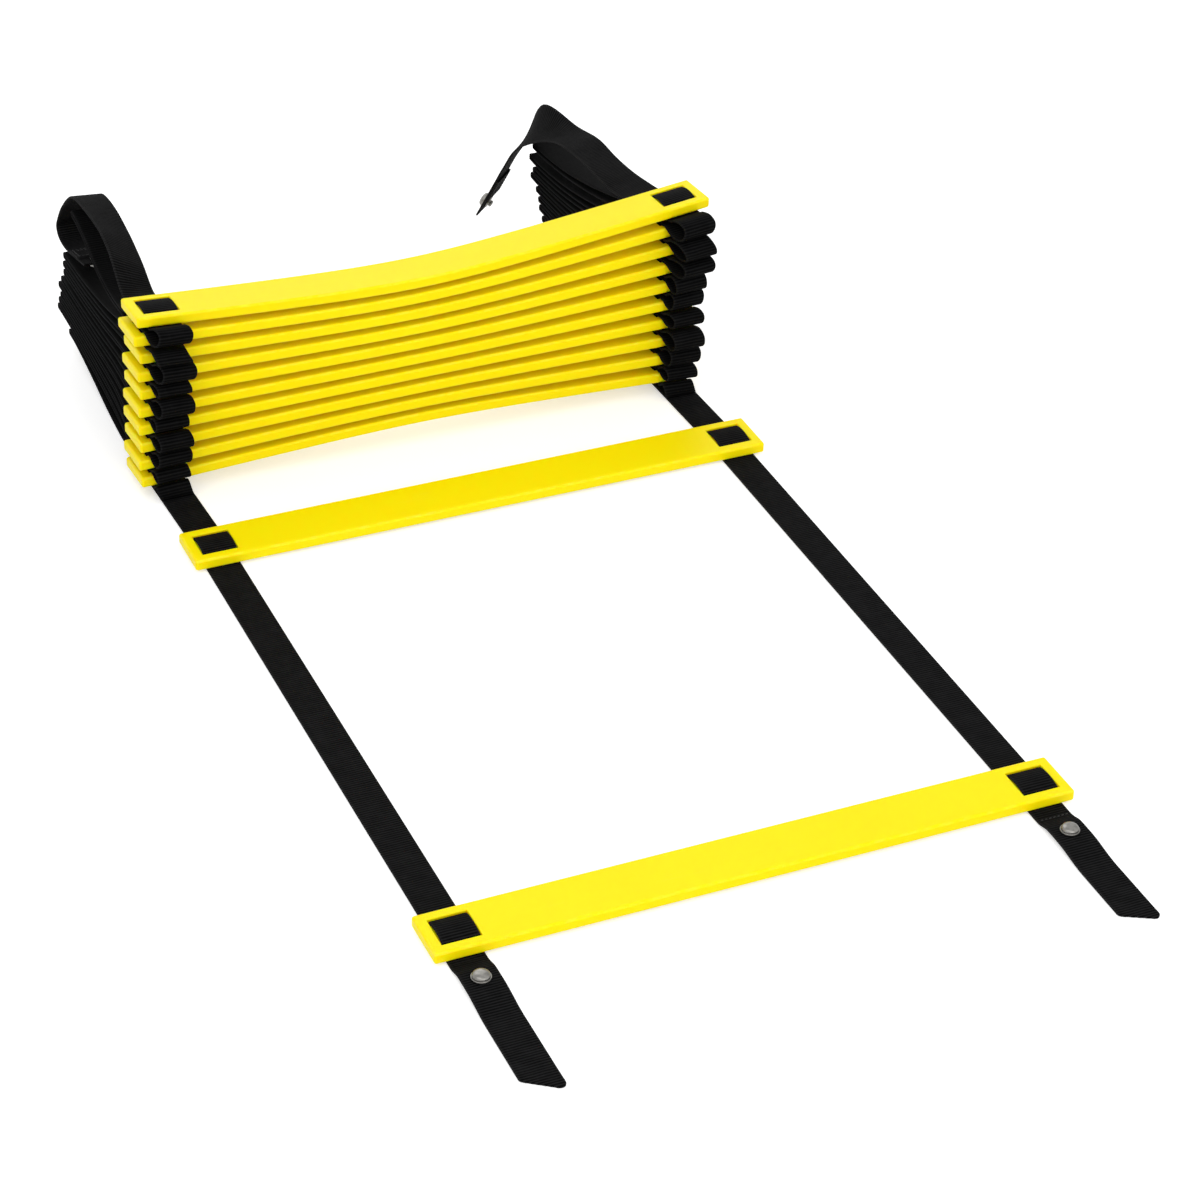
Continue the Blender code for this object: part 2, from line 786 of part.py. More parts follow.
def rung_place(number):
    """Middle of a rung's underside in the ladder's own frame."""
    if number == 1:
        return (0, 0, FLOOR_RUNG_HEIGHT)
    if number == 2:
        return (0, RUNG_SPACING, FLOOR_RUNG_HEIGHT)
    return (layer_shift(number), STACK_DISTANCE, layer_height(number, 0, 0))


def make_rung(number, plain, slot):
    mesh = plain.copy()
    mesh.name = f"rung_{number:02d}"
    for point in mesh.vertices:
        if number < FIRST_STACKED:
            point.co.z += FLOOR_RUNG_HEIGHT
            point.co.y += RUNG_SPACING * (number - 1)
        else:
            point.co.z += layer_height(number, point.co.x, point.co.y)
            point.co.x += layer_shift(number)
            point.co.y += STACK_DISTANCE
    mesh.shade_smooth()
    return new_object(mesh.name, mesh, slot, rung_place(number))


# The flat straps


def flat_pair(side, y, z=FLAT):
    centre = side * STRAP_OFFSET
    return ((centre - HALF_STRAP, y, z), (centre + HALF_STRAP, y, z))


def front_tail_stations(side, snap):
    short = FRONT_TAIL_SHORT if side < 0 else FRONT_TAIL_SHORT_RIGHT
    long = FRONT_TAIL_LONG if side < 0 else FRONT_TAIL_LONG_RIGHT
    lift = SOCKET_HEIGHT + GAP + FLAT
    rise = SNAP_RISE_LENGTH - SNAP_FLAT_LENGTH
    fall = SNAP_FALL_LENGTH - SNAP_FLAT_LENGTH
    made = [flat_pair(side, TAIL_HINGE - HALF_GAP)]
    for share in (1, 0.75, 0.5, 0.25, 0):
        height = lift + eased(share) * (FLAT - lift)
        made.append(flat_pair(side, -snap + SNAP_FLAT_LENGTH + share * rise, height))
    for share in (0, 0.25, 0.5, 0.75, 1):
        height = lift + eased(share) * (FLAT - lift)
        made.append(flat_pair(side, -snap - SNAP_FLAT_LENGTH - share * fall, height))
    centre = side * STRAP_OFFSET
    made.append(((centre - HALF_STRAP, -short, FLAT), (centre + HALF_STRAP, -long, FLAT)))
    return made


def hump_piece_stations(side, rung_line):
    centre = side * STRAP_OFFSET
    made = []
    for y, z in hump_path(False):
        place = (rung_line + y, z + FLOOR_RUNG_HEIGHT)
        made.append(((centre - HALF_STRAP, *place), (centre + HALF_STRAP, *place)))
    return made


def seated(mesh, frame, clearance):
    mesh.transform(frame @ Matrix.Translation((0, 0, clearance)))
    return mesh


def build_side(name, webbing, nickel):
    side = SIDES[name]
    snap = FRONT_SNAP_LEFT if side < 0 else FRONT_SNAP_RIGHT
    bay_pivot = (side * STRAP_OFFSET, BAY_HINGE, STRAP_THICKNESS)
    tail_pivot = (side * STRAP_OFFSET, TAIL_HINGE, STRAP_THICKNESS)
    stack_pivot = (side * STRAP_OFFSET + STACK_SHIFT, STACK_DISTANCE, 0)

    # Front tail and its snap
    lift = SOCKET_HEIGHT + GAP + FLAT
    at_snap = frame_at((side * STRAP_OFFSET, -snap, lift), (1, 0, 0), (0, 1, 0))
    tail = drilled(strip_mesh("tail", front_tail_stations(side, snap)), at_snap)
    new_object(f"{name}_front_tail", tail, webbing, tail_pivot)
    post = STRAP_THICKNESS + 2 * GAP + SOCKET_HEIGHT / 2
    cap = seated(turned_mesh("cap", cap_outline(post)), at_snap, FLAT + GAP)
    new_object(f"{name}_front_snap_cap", cap, nickel, tail_pivot)
    socket = seated(turned_mesh("socket", socket_outline()), at_snap, -lift)
    new_object(f"{name}_front_snap_socket", socket, nickel, tail_pivot)

    # Flat runs of the first bay and under the stack
    bay = [flat_pair(side, TAIL_HINGE + HALF_GAP), flat_pair(side, BAY_HINGE - HALF_GAP)]
    new_object(f"{name}_bay_run", strip_mesh("bay", bay), webbing, bay_pivot)
    back = side * STRAP_OFFSET + STACK_SHIFT
    base = [
        flat_pair(side, BAY_HINGE + HALF_GAP),
        flat_pair(side, RUNG_SPACING + HALF_WIDTH),
        ((back - HALF_STRAP, STACK_DISTANCE, FLAT), (back + HALF_STRAP, STACK_DISTANCE, FLAT)),
        ((back - HALF_STRAP, BASE_RUN_END, FLAT), (back + HALF_STRAP, BASE_RUN_END, FLAT)),
    ]
    new_object(f"{name}_base_run", strip_mesh("base", base), webbing, bay_pivot)
    for number, line in ((1, 0), (2, RUNG_SPACING)):
        pivot = (side * STRAP_OFFSET, line, FLOOR_RUNG_HEIGHT)
        hump = strip_mesh("hump", hump_piece_stations(side, line))
        new_object(f"{name}_hump_{number:02d}", hump, webbing, pivot)

    # Folds through the stack
    for layer in range(FIRST_STACKED - 1, RUNG_COUNT):
        stations = fold_stations(side, layer)
        own_gaps[f"{name}_fold_{layer:02d}"] = own_gap(stations)
        fold = strip_mesh("fold", stations)
        new_object(f"{name}_fold_{layer:02d}", fold, webbing, stack_pivot)

    # Rear tail and its snap
    edges = rear_tail_stations(side)
    own_gaps[f"{name}_rear_tail"] = own_gap(edges)
    last = Vector(edges[-1][0]).lerp(Vector(edges[-1][1]), 0.5)
    before = Vector(edges[-2][0]).lerp(Vector(edges[-2][1]), 0.5)
    along = (last - before).normalized()
    across = Vector(edges[-1][1]) - Vector(edges[-1][0])
    at_end = frame_at(last - along * REAR_SNAP_INSET, across, along)
    tail = drilled(strip_mesh("tail", edges), at_end)
    new_object(f"{name}_rear_tail", tail, webbing, stack_pivot)
    post = STRAP_THICKNESS + 2 * GAP + STUD_HEIGHT / 2
    cap = seated(turned_mesh("cap", cap_outline(post)), at_end, FLAT + GAP)
    new_object(f"{name}_rear_snap_cap", cap, nickel, stack_pivot)
    stud = seated(turned_mesh("stud", stud_outline()), at_end, -(FLAT + GAP))
    new_object(f"{name}_rear_snap_stud", stud, nickel, stack_pivot)


def settle_on_origin():
    """The row's origin is the middle of the part's box, at its base."""
    low = np.full(3, np.inf)
    high = np.full(3, -np.inf)
    for found in bpy.context.scene.collection.objects:
        for point in found.data.vertices:
            place = np.array(found.location + point.co)
            low = np.minimum(low, place)
            high = np.maximum(high, place)
    shift = Vector((-(low[0] + high[0]) / 2, -(low[1] + high[1]) / 2, -low[2]))
    for found in bpy.context.scene.collection.objects:
        found.location += shift
    return shift, high - low


clear_scene()
yellow = material("yellow_plastic", (1.0, 0.84, 0.0), 0.42, 0.0)
webbing = material("black_webbing", (0.007, 0.007, 0.008), 0.85, 0.0)
nickel = material("nickel", (0.62, 0.60, 0.56), 0.32, 1.0)

own_gaps = {}
plain = plain_rung()
for number in range(1, RUNG_COUNT + 1):
    make_rung(number, plain, yellow)
bpy.data.meshes.remove(plain)
for name in SIDES:
    build_side(name, webbing, nickel)
shift, size = settle_on_origin()
print("size", [round(float(side), 4) for side in size])
print("shift", [round(value, 5) for value in shift])
print("bay hinge", round(BAY_HINGE + shift.y, 5), round(STRAP_THICKNESS + shift.z, 5))
print("tail hinge", round(TAIL_HINGE + shift.y, 5))
lines = {"rung 1": 0, "rung 2": RUNG_SPACING, "stack": STACK_DISTANCE}
print("lines", {name: round(place + shift.y, 5) for name, place in lines.items()})
print("least gap of a strap to itself", min((round(gap, 5), name) for name, gap in own_gaps.items()))
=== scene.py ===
# %% [markdown]
# # A folding agility ladder
#
# Twelve flat plastic rungs on two webbing straps. The first bay is laid out on the floor and the
# other ten rungs are folded up in a stack, with the straps in long loops behind it and short rolls
# in front of it. The imported CAD model is the frame: every piece made here takes its place from it,
# and most of them move with one of its bodies.

# %% The frame
import math

import bmesh
import bpy
import numpy as np
from mathutils import Matrix, Vector


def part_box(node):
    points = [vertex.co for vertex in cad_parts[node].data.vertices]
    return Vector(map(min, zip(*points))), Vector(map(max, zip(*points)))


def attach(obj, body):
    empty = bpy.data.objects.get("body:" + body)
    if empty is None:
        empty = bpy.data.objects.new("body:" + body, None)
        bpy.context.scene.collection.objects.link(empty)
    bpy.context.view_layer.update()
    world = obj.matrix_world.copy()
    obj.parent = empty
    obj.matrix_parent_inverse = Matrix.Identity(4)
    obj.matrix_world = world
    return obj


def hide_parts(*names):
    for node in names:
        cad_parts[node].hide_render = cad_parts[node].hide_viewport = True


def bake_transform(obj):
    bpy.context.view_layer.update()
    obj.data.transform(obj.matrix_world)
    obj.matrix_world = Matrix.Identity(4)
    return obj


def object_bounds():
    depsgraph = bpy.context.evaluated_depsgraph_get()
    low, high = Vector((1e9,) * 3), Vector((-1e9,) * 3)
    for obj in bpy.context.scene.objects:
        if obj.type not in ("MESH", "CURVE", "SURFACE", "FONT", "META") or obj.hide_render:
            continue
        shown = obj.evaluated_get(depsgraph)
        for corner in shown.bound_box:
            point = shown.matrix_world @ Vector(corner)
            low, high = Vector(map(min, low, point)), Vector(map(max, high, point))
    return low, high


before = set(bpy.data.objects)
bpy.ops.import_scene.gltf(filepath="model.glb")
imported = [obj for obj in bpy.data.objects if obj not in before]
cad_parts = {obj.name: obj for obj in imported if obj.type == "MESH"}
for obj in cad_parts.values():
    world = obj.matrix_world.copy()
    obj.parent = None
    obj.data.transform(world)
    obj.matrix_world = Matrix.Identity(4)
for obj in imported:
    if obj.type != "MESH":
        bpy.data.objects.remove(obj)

cad_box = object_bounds()
print("CAD box", [round(value, 4) for corner in cad_box for value in corner])

# %% [markdown]
# ## Sizes
#
# The sizes are the CAD model's own, in metres. The ladder's zero is the middle of the front rung on
# the floor: X along the rungs, Y back along the straps, Z up. The front rung's box says where that
# zero lies in the frame, so nothing has to be fitted by eye.

# %% Sizes of the ladder
RUNG_COUNT = 12
FIRST_STACKED = 3
RUNG_LENGTH = 0.430
RUNG_WIDTH = 0.039
RUNG_THICKNESS = 0.008
RUNG_ROUNDING = 0.0018
RUNG_SPACING = 0.445
SHORT_BAY = 0.1028
STACK_DISTANCE = RUNG_SPACING + SHORT_BAY
STACK_SHIFT = -0.003
LAYER_SHIFT = 0.004
LAYER_SHIFT_SHARES = {
    3: -0.65, 4: -0.95, 5: -0.60, 6: -0.65, 7: -0.55, 8: -0.15, 9: -0.35, 10: 0.15, 11: -0.70,
}
STRAP_WIDTH = 0.0245
STRAP_THICKNESS = 0.0015
WINDOW_INSET = 0.020
STRAP_OFFSET = RUNG_LENGTH / 2 - WINDOW_INSET
GAP = 0.0003
GAP_UNDER = 0.0006
GAP_OVER_BRIDGE = 0.0005
GAP_OVER_RUNG = 0.0008
HINGE_GAP = 0.00285
WINDOW_DEPTH = 0.0246
WINDOW_ACROSS = 0.0256
BRIDGE_WIDTH = 0.0178
BRIDGE_DROP = 0.0022
HALF_WIDTH = RUNG_WIDTH / 2
HALF_STRAP = STRAP_WIDTH / 2
FLAT = STRAP_THICKNESS / 2
FLOOR_RUNG_HEIGHT = STRAP_THICKNESS + GAP
SLOT_LINE = (WINDOW_DEPTH + BRIDGE_WIDTH) / 4
UNDER = -(GAP_UNDER + FLAT)
OVER = RUNG_THICKNESS - BRIDGE_DROP + GAP_OVER_BRIDGE + FLAT
RETURN = RUNG_THICKNESS + GAP_OVER_RUNG + FLAT
SECOND_FLAT = STRAP_THICKNESS + GAP + FLAT
TAIL_HINGE = -(HALF_WIDTH + HINGE_GAP)
BAY_HINGE = RUNG_SPACING + TAIL_HINGE
SIDES = {"left": -1, "right": 1}

first_low, first_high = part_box("rung_01")
ZERO = np.array([(first_low.x + first_high.x) / 2, (first_low.y + first_high.y) / 2, 0.0])
print("the ladder's zero in the frame", ZERO.round(5))

# %% [markdown]
# ## The camera
#
# A photograph's perspective can be solved from points whose places are known, here the corners of
# the rungs. The answer is written the way a photographer would say it: which spot on the floor the
# lens points at, from how far, from which side, how high, how far the camera leans, and its focal
# length on a 36 mm wide sensor.

# %% Camera
AIM = Vector((0.02873, 0.29661, 0.0)) + Vector(ZERO)
AIM_DISTANCE = 2.33545
AZIMUTH = math.radians(-24.689)
ELEVATION = math.radians(34.103)
ROLL = math.radians(1.878)
FOCAL_LENGTH = 103.4
SENSOR_WIDTH = 36

back = Vector((
    math.sin(AZIMUTH) * math.cos(ELEVATION),
    -math.cos(AZIMUTH) * math.cos(ELEVATION),
    math.sin(ELEVATION),
))
level = Vector((math.cos(AZIMUTH), math.sin(AZIMUTH), 0))
lifted = back.cross(level)
right = level * math.cos(ROLL) + lifted * math.sin(ROLL)
camera_data = bpy.data.cameras.new("camera")
camera_data.lens = FOCAL_LENGTH
camera_data.sensor_width = SENSOR_WIDTH
camera_data.clip_start = 0.05
camera = bpy.data.objects.new("camera", camera_data)
bpy.context.scene.collection.objects.link(camera)
turn = Matrix((right, back.cross(right), back)).transposed().to_4x4()
camera.matrix_world = Matrix.Translation(AIM + back * AIM_DISTANCE) @ turn
bpy.context.scene.camera = camera
bpy.context.scene.view_settings.view_transform = "Standard"
print("camera at", [round(value, 3) for value in camera.matrix_world.translation])

# %% [markdown]
# ## Node maths in plain Python
#
# Materials and geometry are both graphs of nodes. Writing `1 - mask * 0.5` reads better than three
# linked Math nodes, so a small class wraps a socket and adds the nodes for us. Colours go through a
# Mix node, because a Math node would turn them grey.


# %% A socket that Python's operators work on
class Value:
    """A node's output. Each operator on it adds one Math node."""

    def __init__(self, nodes, socket):
        self.nodes = nodes
        self.socket = socket

    def math(self, operation, *others):
        return self.nodes.node("ShaderNodeMath", {"operation": operation}, self, *others)

    def __add__(self, other):
        return self.math("ADD", other)

    def __sub__(self, other):
        return self.math("SUBTRACT", other)

    def __mul__(self, other):
        return self.math("MULTIPLY", other)

    def __truediv__(self, other):
        return self.math("DIVIDE", other)

    def __pow__(self, other):
        return self.math("POWER", other)

    def __rsub__(self, other):
        return self.nodes.node("ShaderNodeMath", {"operation": "SUBTRACT"}, other, self)

    __radd__ = __add__
    __rmul__ = __mul__

    def clamped(self):
        return self.nodes.node("ShaderNodeClamp", {}, self)

    def between(self, low, high):
        """0 at low, 1 at high, and straight between them."""
        return ((self - low) / (high - low)).clamped()

    def absolute(self):
        return self.math("ABSOLUTE")

    def cosine(self):
        return self.math("COSINE")

    def larger(self, other):
        return self.math("MAXIMUM", other)


class Nodes:
    """Adds nodes to one tree."""

    def __init__(self, tree):
        self.tree = tree

    def node(self, kind, settings, *values, sockets=None, output=0):
        """One node: its type and settings, then the values or links of its sockets in order or by name."""
        made = self.tree.nodes.new(kind)
        for name, value in settings.items():
            setattr(made, name, value)
        wanted = list(zip(made.inputs, values))
        wanted += [(made.inputs[name], value) for name, value in (sockets or {}).items()]
        for socket, value in wanted:
            if isinstance(value, Value):
                self.tree.links.new(value.socket, socket)
            elif value is not None:
                socket.default_value = value
        return Value(self, made.outputs[output])

    def place(self):
        """A point's place in the piece's own coordinates."""
        return self.node("ShaderNodeTexCoord", {}, output="Object")

    def attribute(self, name):
        return self.node("ShaderNodeAttribute", {"attribute_name": name}, output="Fac")

    def stretched(self, vector, scale, turn=None):
        """The vector turned and scaled: noise of it is drawn out where the scale is small."""
        return self.node("ShaderNodeMapping", {}, vector, None, turn, scale)

    def noise(self, vector, scale, detail=2.0, roughness=0.5):
        sockets = {"Vector": vector, "Scale": scale, "Detail": detail, "Roughness": roughness}
        return self.node("ShaderNodeTexNoise", {}, sockets=sockets, output="Fac")

    def vector(self, x, y, z=0.0):
        return self.node("ShaderNodeCombineXYZ", {}, x, y, z)

    def mixed(self, share, first, second):
        """A colour between two colours."""
        made = self.tree.nodes.new("ShaderNodeMix")
        made.data_type = "RGBA"
        for index, value in ((0, share), (6, first), (7, second)):
            if isinstance(value, Value):
                self.tree.links.new(value.socket, made.inputs[index])
            else:
                made.inputs[index].default_value = value
        return Value(self, made.outputs[2])

    def bump(self, height, distance, strength=1.0, normal=None):
        sockets = {"Strength": strength, "Distance": distance, "Height": height, "Normal": normal}
        return self.node("ShaderNodeBump", {}, sockets=sockets)

    def seen(self):
        """1 where the camera, a mirror or glass looks, 0 for light on its way to something else."""
        rays = ("Is Camera Ray", "Is Glossy Ray", "Is Transmission Ray")
        direct, mirrored, through = (self.node("ShaderNodeLightPath", {}, output=ray) for ray in rays)
        return direct.larger(mirrored).larger(through)


def new_material(name):
    """A material, its tree's node maker and its Principled shader."""
    made = bpy.data.materials.new(name)
    made.use_nodes = True
    shader = made.node_tree.nodes["Principled BSDF"]
    return made, Nodes(made.node_tree), shader


def feed(nodes, shader, constants, links):
    """Sets the shader's constant sockets, and links what varies over the surface."""
    for name, value in constants.items():
        shader.inputs[name].default_value = value
    for name, value in links.items():
        nodes.tree.links.new(value.socket, shader.inputs[name])


print("node maths is ready")

# %% [markdown]
# ## Yellow plastic
#
# The rungs are injection moulded in a solid, strong yellow. Up close such plastic is never even: the
# mould leaves a very fine grain, the colour drifts a little where the melt flowed, handling leaves
# faint scuffs that change the gloss more than the colour, and the corners are rubbed paler. All of
# it is worked out from the piece's own coordinates, so it stays on the rung when the rung moves.


# %% Yellow plastic
def yellow_plastic():
    made, nodes, shader = new_material("rung plastic")
    place = nodes.place()
    drift = nodes.noise(place, 9.0, 3.0)
    flow = nodes.noise(nodes.stretched(place, (4.0, 60.0, 60.0)), 1.0, 3.0)
    grain = nodes.noise(place, 2600.0, 2.0)
    pores = nodes.noise(place, 900.0, 3.0)
    scuffs = nodes.noise(nodes.stretched(place, (30.0, 420.0, 30.0), (0, 0, 0.5)), 1.0, 4.0)
    scuffed = scuffs.between(0.62, 0.72) * nodes.noise(place, 24.0, 2.0).between(0.50, 0.66)
    worn = nodes.attribute("edge") * nodes.noise(place, 160.0, 3.0).between(0.42, 0.62)
    drifted = (drift * 0.6 + flow * 0.4).between(0.35, 0.65)
    base = nodes.mixed(drifted, (1.0, 0.770, 0.0, 1), (1.0, 0.800, 0.002, 1))
    base = nodes.mixed(worn * 0.35, base, (1.0, 0.86, 0.07, 1))
    base = nodes.mixed(scuffed * 0.10, base, (0.96, 0.77, 0.12, 1))
    rough = 0.40 + (pores - 0.5) * 0.10 + scuffed * 0.18 + worn * 0.06
    normal = nodes.bump(grain * 0.6 + pores * 0.4, 0.00004, 0.55)
    normal = nodes.bump(flow, 0.0002, 0.20, normal)
    constants = {
        "Specular IOR Level": 0.10,
        "Subsurface Weight": 0.6,
        "Subsurface Radius": (1.0, 0.30, 0.02),
        "Subsurface Scale": 0.0025,
    }
    feed(nodes, shader, constants, {"Base Color": base, "Roughness": rough, "Normal": normal})
    return made


# %% [markdown]
# ## Black webbing
#
# The strap is woven from flat yarns of black polypropylene. What the eye sees is a cross rib every
# couple of millimetres, the yarns' short floats lying side by side on it, and selvages at both
# edges where the weft turns back. The mesh carries three numbers at each point: how far along the
# strap it is, how far across, and on which face. The pattern reads those, so it follows every fold.
# The colour is painted lighter on the rib crests and along both edges: painted highlight. The webbing
# in the stack's folds is the same cloth with its ribs pressed flatter and a darker colour: painted
# shade, for the shade of the stack.


# %% Black webbing
RIB_PITCH = 0.0021
YARN_PITCH = 0.00085
RIB_WANDER = RIB_PITCH * 0.5
# The edge band of the strap: its ribs flatten there, and its colour is painted lighter as a highlight.
SELVAGE_AND_HIGHLIGHT = (HALF_STRAP - 0.0016, HALF_STRAP - 0.0004)


def black_webbing(name, deep, lit, rib_strength):
    made, nodes, shader = new_material(name)
    place = nodes.place()
    along = nodes.attribute("along")
    across = nodes.attribute("across")
    cloth = nodes.vector(along, across)
    wander = nodes.noise(nodes.stretched(cloth, (220.0, 60.0, 1.0)), 1.0, 2.0)
    turn = (along + (wander - 0.5) * RIB_WANDER) * (math.tau / RIB_PITCH)
    rib = turn.cosine() * 0.5 + 0.5
    row = (along * (math.tau / YARN_PITCH)).cosine()
    yarn = (across * (math.tau / YARN_PITCH)).cosine()
    weave = row * yarn * 0.5 + 0.5
    fuzz = nodes.noise(cloth, 5200.0, 2.0)
    patches = nodes.noise(cloth, 90.0, 4.0, 0.6)
    streaks = nodes.noise(nodes.stretched(cloth, (60.0, 1400.0, 1.0)), 1.0, 3.0)
    selvage_and_highlight = across.absolute().between(*SELVAGE_AND_HIGHLIGHT)
    height = rib * (1 - selvage_and_highlight * 0.7) * 0.55 + weave * 0.30 + fuzz * 0.15
    # The rib term paints the rib crests lighter and the troughs darker: painted highlight and painted shade.
    # Weave, patches and streaks vary the cloth's own tone.
    shade = rib * rib * 0.60 + weave * 0.15 + patches.between(0.35, 0.75) * 0.20
    shade = shade + streaks.between(0.45, 0.8) * 0.15
    # Both edges of the strap are painted lighter here: a painted highlight along the edges.
    base = nodes.mixed((shade + selvage_and_highlight * 0.35).between(0.15, 1.1), deep, lit)
    lint = nodes.noise(cloth, 1500.0, 1.0).between(0.80, 0.84)
    base = nodes.mixed(lint * 0.5, base, (0.09, 0.09, 0.092, 1))
    rough = 0.62 + fuzz * 0.20 + patches * 0.12 - rib * 0.08
    normal = nodes.bump(height, 0.00032, rib_strength)
    normal = nodes.bump(nodes.noise(place, 55.0, 3.0), 0.0011, 0.35, normal)
    constants = {"Specular IOR Level": 0.03, "Sheen Weight": 0.0}
    feed(nodes, shader, constants, {"Base Color": base, "Roughness": rough, "Normal": normal})
    return made


# %% [markdown]
# ## Nickel and thread
#
# Snap caps are stamped steel with a satin nickel plate: a soft grey metal with turning marks round
# its axis and a little tarnish. The thread is the strap's own black, twisted.


# %% Nickel and thread
def satin_nickel():
    made, nodes, shader = new_material("satin nickel")
    place = nodes.place()
    ring = nodes.attribute("ring")
    lathe = nodes.noise(nodes.vector(ring * 9000.0, 0.5), 1.0, 3.0)
    bloom = nodes.noise(place, 380.0, 3.0)
    fine = nodes.noise(place, 5200.0, 2.0)
    base = nodes.mixed(bloom.between(0.35, 0.7), (0.28, 0.272, 0.255, 1), (0.19, 0.184, 0.171, 1))
    rough = 0.24 + lathe * 0.12 + bloom * 0.08
    normal = nodes.bump(lathe * 0.7 + fine * 0.3, 0.00002, 0.5)
    feed(nodes, shader, {"Metallic": 1.0}, {"Base Color": base, "Roughness": rough, "Normal": normal})
    return made


def black_thread():
    made, nodes, shader = new_material("black thread")
    place = nodes.place()
    twist = nodes.noise(nodes.stretched(place, (5200.0, 2100.0, 2100.0), (0, 0, 0.6)), 1.0, 2.0)
    base = nodes.mixed(twist.between(0.4, 0.7), (0.008, 0.008, 0.009, 1), (0.035, 0.035, 0.037, 1))
    rough = 0.55 + twist * 0.2
    normal = nodes.bump(twist, 0.0001, 0.6)
    feed(nodes, shader, {"Sheen Weight": 0.2}, {"Base Color": base, "Roughness": rough, "Normal": normal})
    return made


YELLOW = yellow_plastic()
WEBBING = black_webbing("strap webbing", (0.0005, 0.0005, 0.0006, 1), (0.0200, 0.0200, 0.0205, 1), 1.0)
# A darker copy of the same webbing for the loops and rolls of the folded straps: painted shade.
FOLDED_PAINTED_SHADE = black_webbing("folded webbing with painted shade", (0.0008, 0.0008, 0.0009, 1), (0.0110, 0.0110, 0.0114, 1), 0.45)
NICKEL = satin_nickel()
THREAD = black_thread()
print("materials", [made.name for made in (YELLOW, WEBBING, FOLDED_PAINTED_SHADE, NICKEL, THREAD)])

# %% [markdown]
# ## Helpers for meshes
#
# Every finished piece is a plain mesh whose object sits at the world's origin, with its place in
# its points. Geometry Nodes trees are built here in the script, given named sizes, evaluated once
# and then turned into such a mesh.


# %% Mesh helpers
def linked(name, mesh, material=None):
    made = bpy.data.objects.new(name, mesh)
    bpy.context.scene.collection.objects.link(made)
    if material is not None:
        mesh.materials.clear()
        mesh.materials.append(material)
    return made


def from_shape(name, shape, material=None):
    """An object with the bmesh's mesh. The bmesh is used up."""
    mesh = bpy.data.meshes.new(name)
    shape.to_mesh(mesh)
    shape.free()
    return linked(name, mesh, material)


def flattened(obj):
    """The object as its modifiers leave it: a new plain mesh object under the same name."""
    bpy.context.view_layer.update()
    graph = bpy.context.evaluated_depsgraph_get()
    mesh = bpy.data.meshes.new_from_object(obj.evaluated_get(graph))
    name = obj.name
    bpy.data.objects.remove(obj, do_unlink=True)
    mesh.name = name
    return linked(name, mesh)


def new_tree(name, sizes):
    """A Geometry Nodes tree with a geometry input and named sizes. Gives tree, nodes, inputs, output."""
    tree = bpy.data.node_groups.new(name, "GeometryNodeTree")
    tree.interface.new_socket("Geometry", in_out="INPUT", socket_type="NodeSocketGeometry")
    tree.interface.new_socket("Geometry", in_out="OUTPUT", socket_type="NodeSocketGeometry")
    for label in sizes:
        tree.interface.new_socket(label, in_out="INPUT", socket_type="NodeSocketFloat")
    nodes = Nodes(tree)
    source = tree.nodes.new("NodeGroupInput")
    result = tree.nodes.new("NodeGroupOutput")
    inputs = {socket.name: Value(nodes, socket) for socket in source.outputs if socket.name}
    return tree, nodes, inputs, result


def end_tree(nodes, geometry, material, result):
    """Every tree ends alike: instances made real, and the material set."""
    real = nodes.node("GeometryNodeRealizeInstances", {}, geometry)
    last = nodes.node("GeometryNodeSetMaterial", {}, real, None, material)
    nodes.tree.links.new(last.socket, result.inputs[0])


def with_tree(obj, tree, values):
    """Puts the tree on the object, with its sizes set by each socket's identifier."""
    modifier = obj.modifiers.new(tree.name, "NODES")
    modifier.node_group = tree
    for item in tree.interface.items_tree:
        if item.item_type == "SOCKET" and item.in_out == "INPUT" and item.name in values:
            modifier[item.identifier] = values[item.name]
    return obj


def point_field(mesh, name, values):
    field = mesh.attributes.get(name) or mesh.attributes.new(name, "FLOAT", "POINT")
    field.data.foreach_set("value", np.asarray(values, np.float32))


print("mesh helpers are ready")

# %% [markdown]
# ## The stack's rule
#
# A pile of thin rungs isn't a pile of straight bars: each one sags or arches in the middle, the
# pile leans down towards the front, and it stands a little higher on the right. One rule gives the
# height of any point of any stacked rung, and both the rungs and the straps use it, so they can't
# drift apart.

# %% Where a stacked rung lies
PITCH_LEFT = 0.01395
PITCH_RIGHT = 0.01534
SAG_FIRST = -0.0074
SAG_LAST = 0.01375
SLOPE = 0.097
KNEE = 0.35
FIRST_HEIGHT = 0.0085
TILT = (PITCH_RIGHT - PITCH_LEFT) / 2 / STRAP_OFFSET


def layer_numbers(layer):
    """A stacked rung's height at its middle, its tilt along X, and how far its middle sags."""
    count = layer - FIRST_STACKED
    sag = SAG_FIRST + count / (RUNG_COUNT - FIRST_STACKED) * (SAG_LAST - SAG_FIRST)
    return FIRST_HEIGHT + count * (PITCH_LEFT + PITCH_RIGHT) / 2, count * TILT, sag


def layer_height(layer, x, y):
    """Height of the rung's underside: x from the stack's middle, y from its middle line."""
    lift, tilt, sag = layer_numbers(layer)
    knee_top = math.sqrt(1 + KNEE**2) - KNEE
    bow = 1 - (math.sqrt((x / STRAP_OFFSET) ** 2 + KNEE**2) - KNEE) / knee_top
    return lift + tilt * x - sag * bow - SLOPE * max(-HALF_WIDTH, min(HALF_WIDTH, y))


def layer_shift(layer):
    """Sideways place of a stacked rung and of the strap through it."""
    return STACK_SHIFT + LAYER_SHIFT_SHARES.get(layer, 0) * LAYER_SHIFT


for layer in (3, 12):
    print("layer", layer, "ends at", [round(layer_height(layer, x, 0), 4) for x in (-0.2, 0.0, 0.2)])

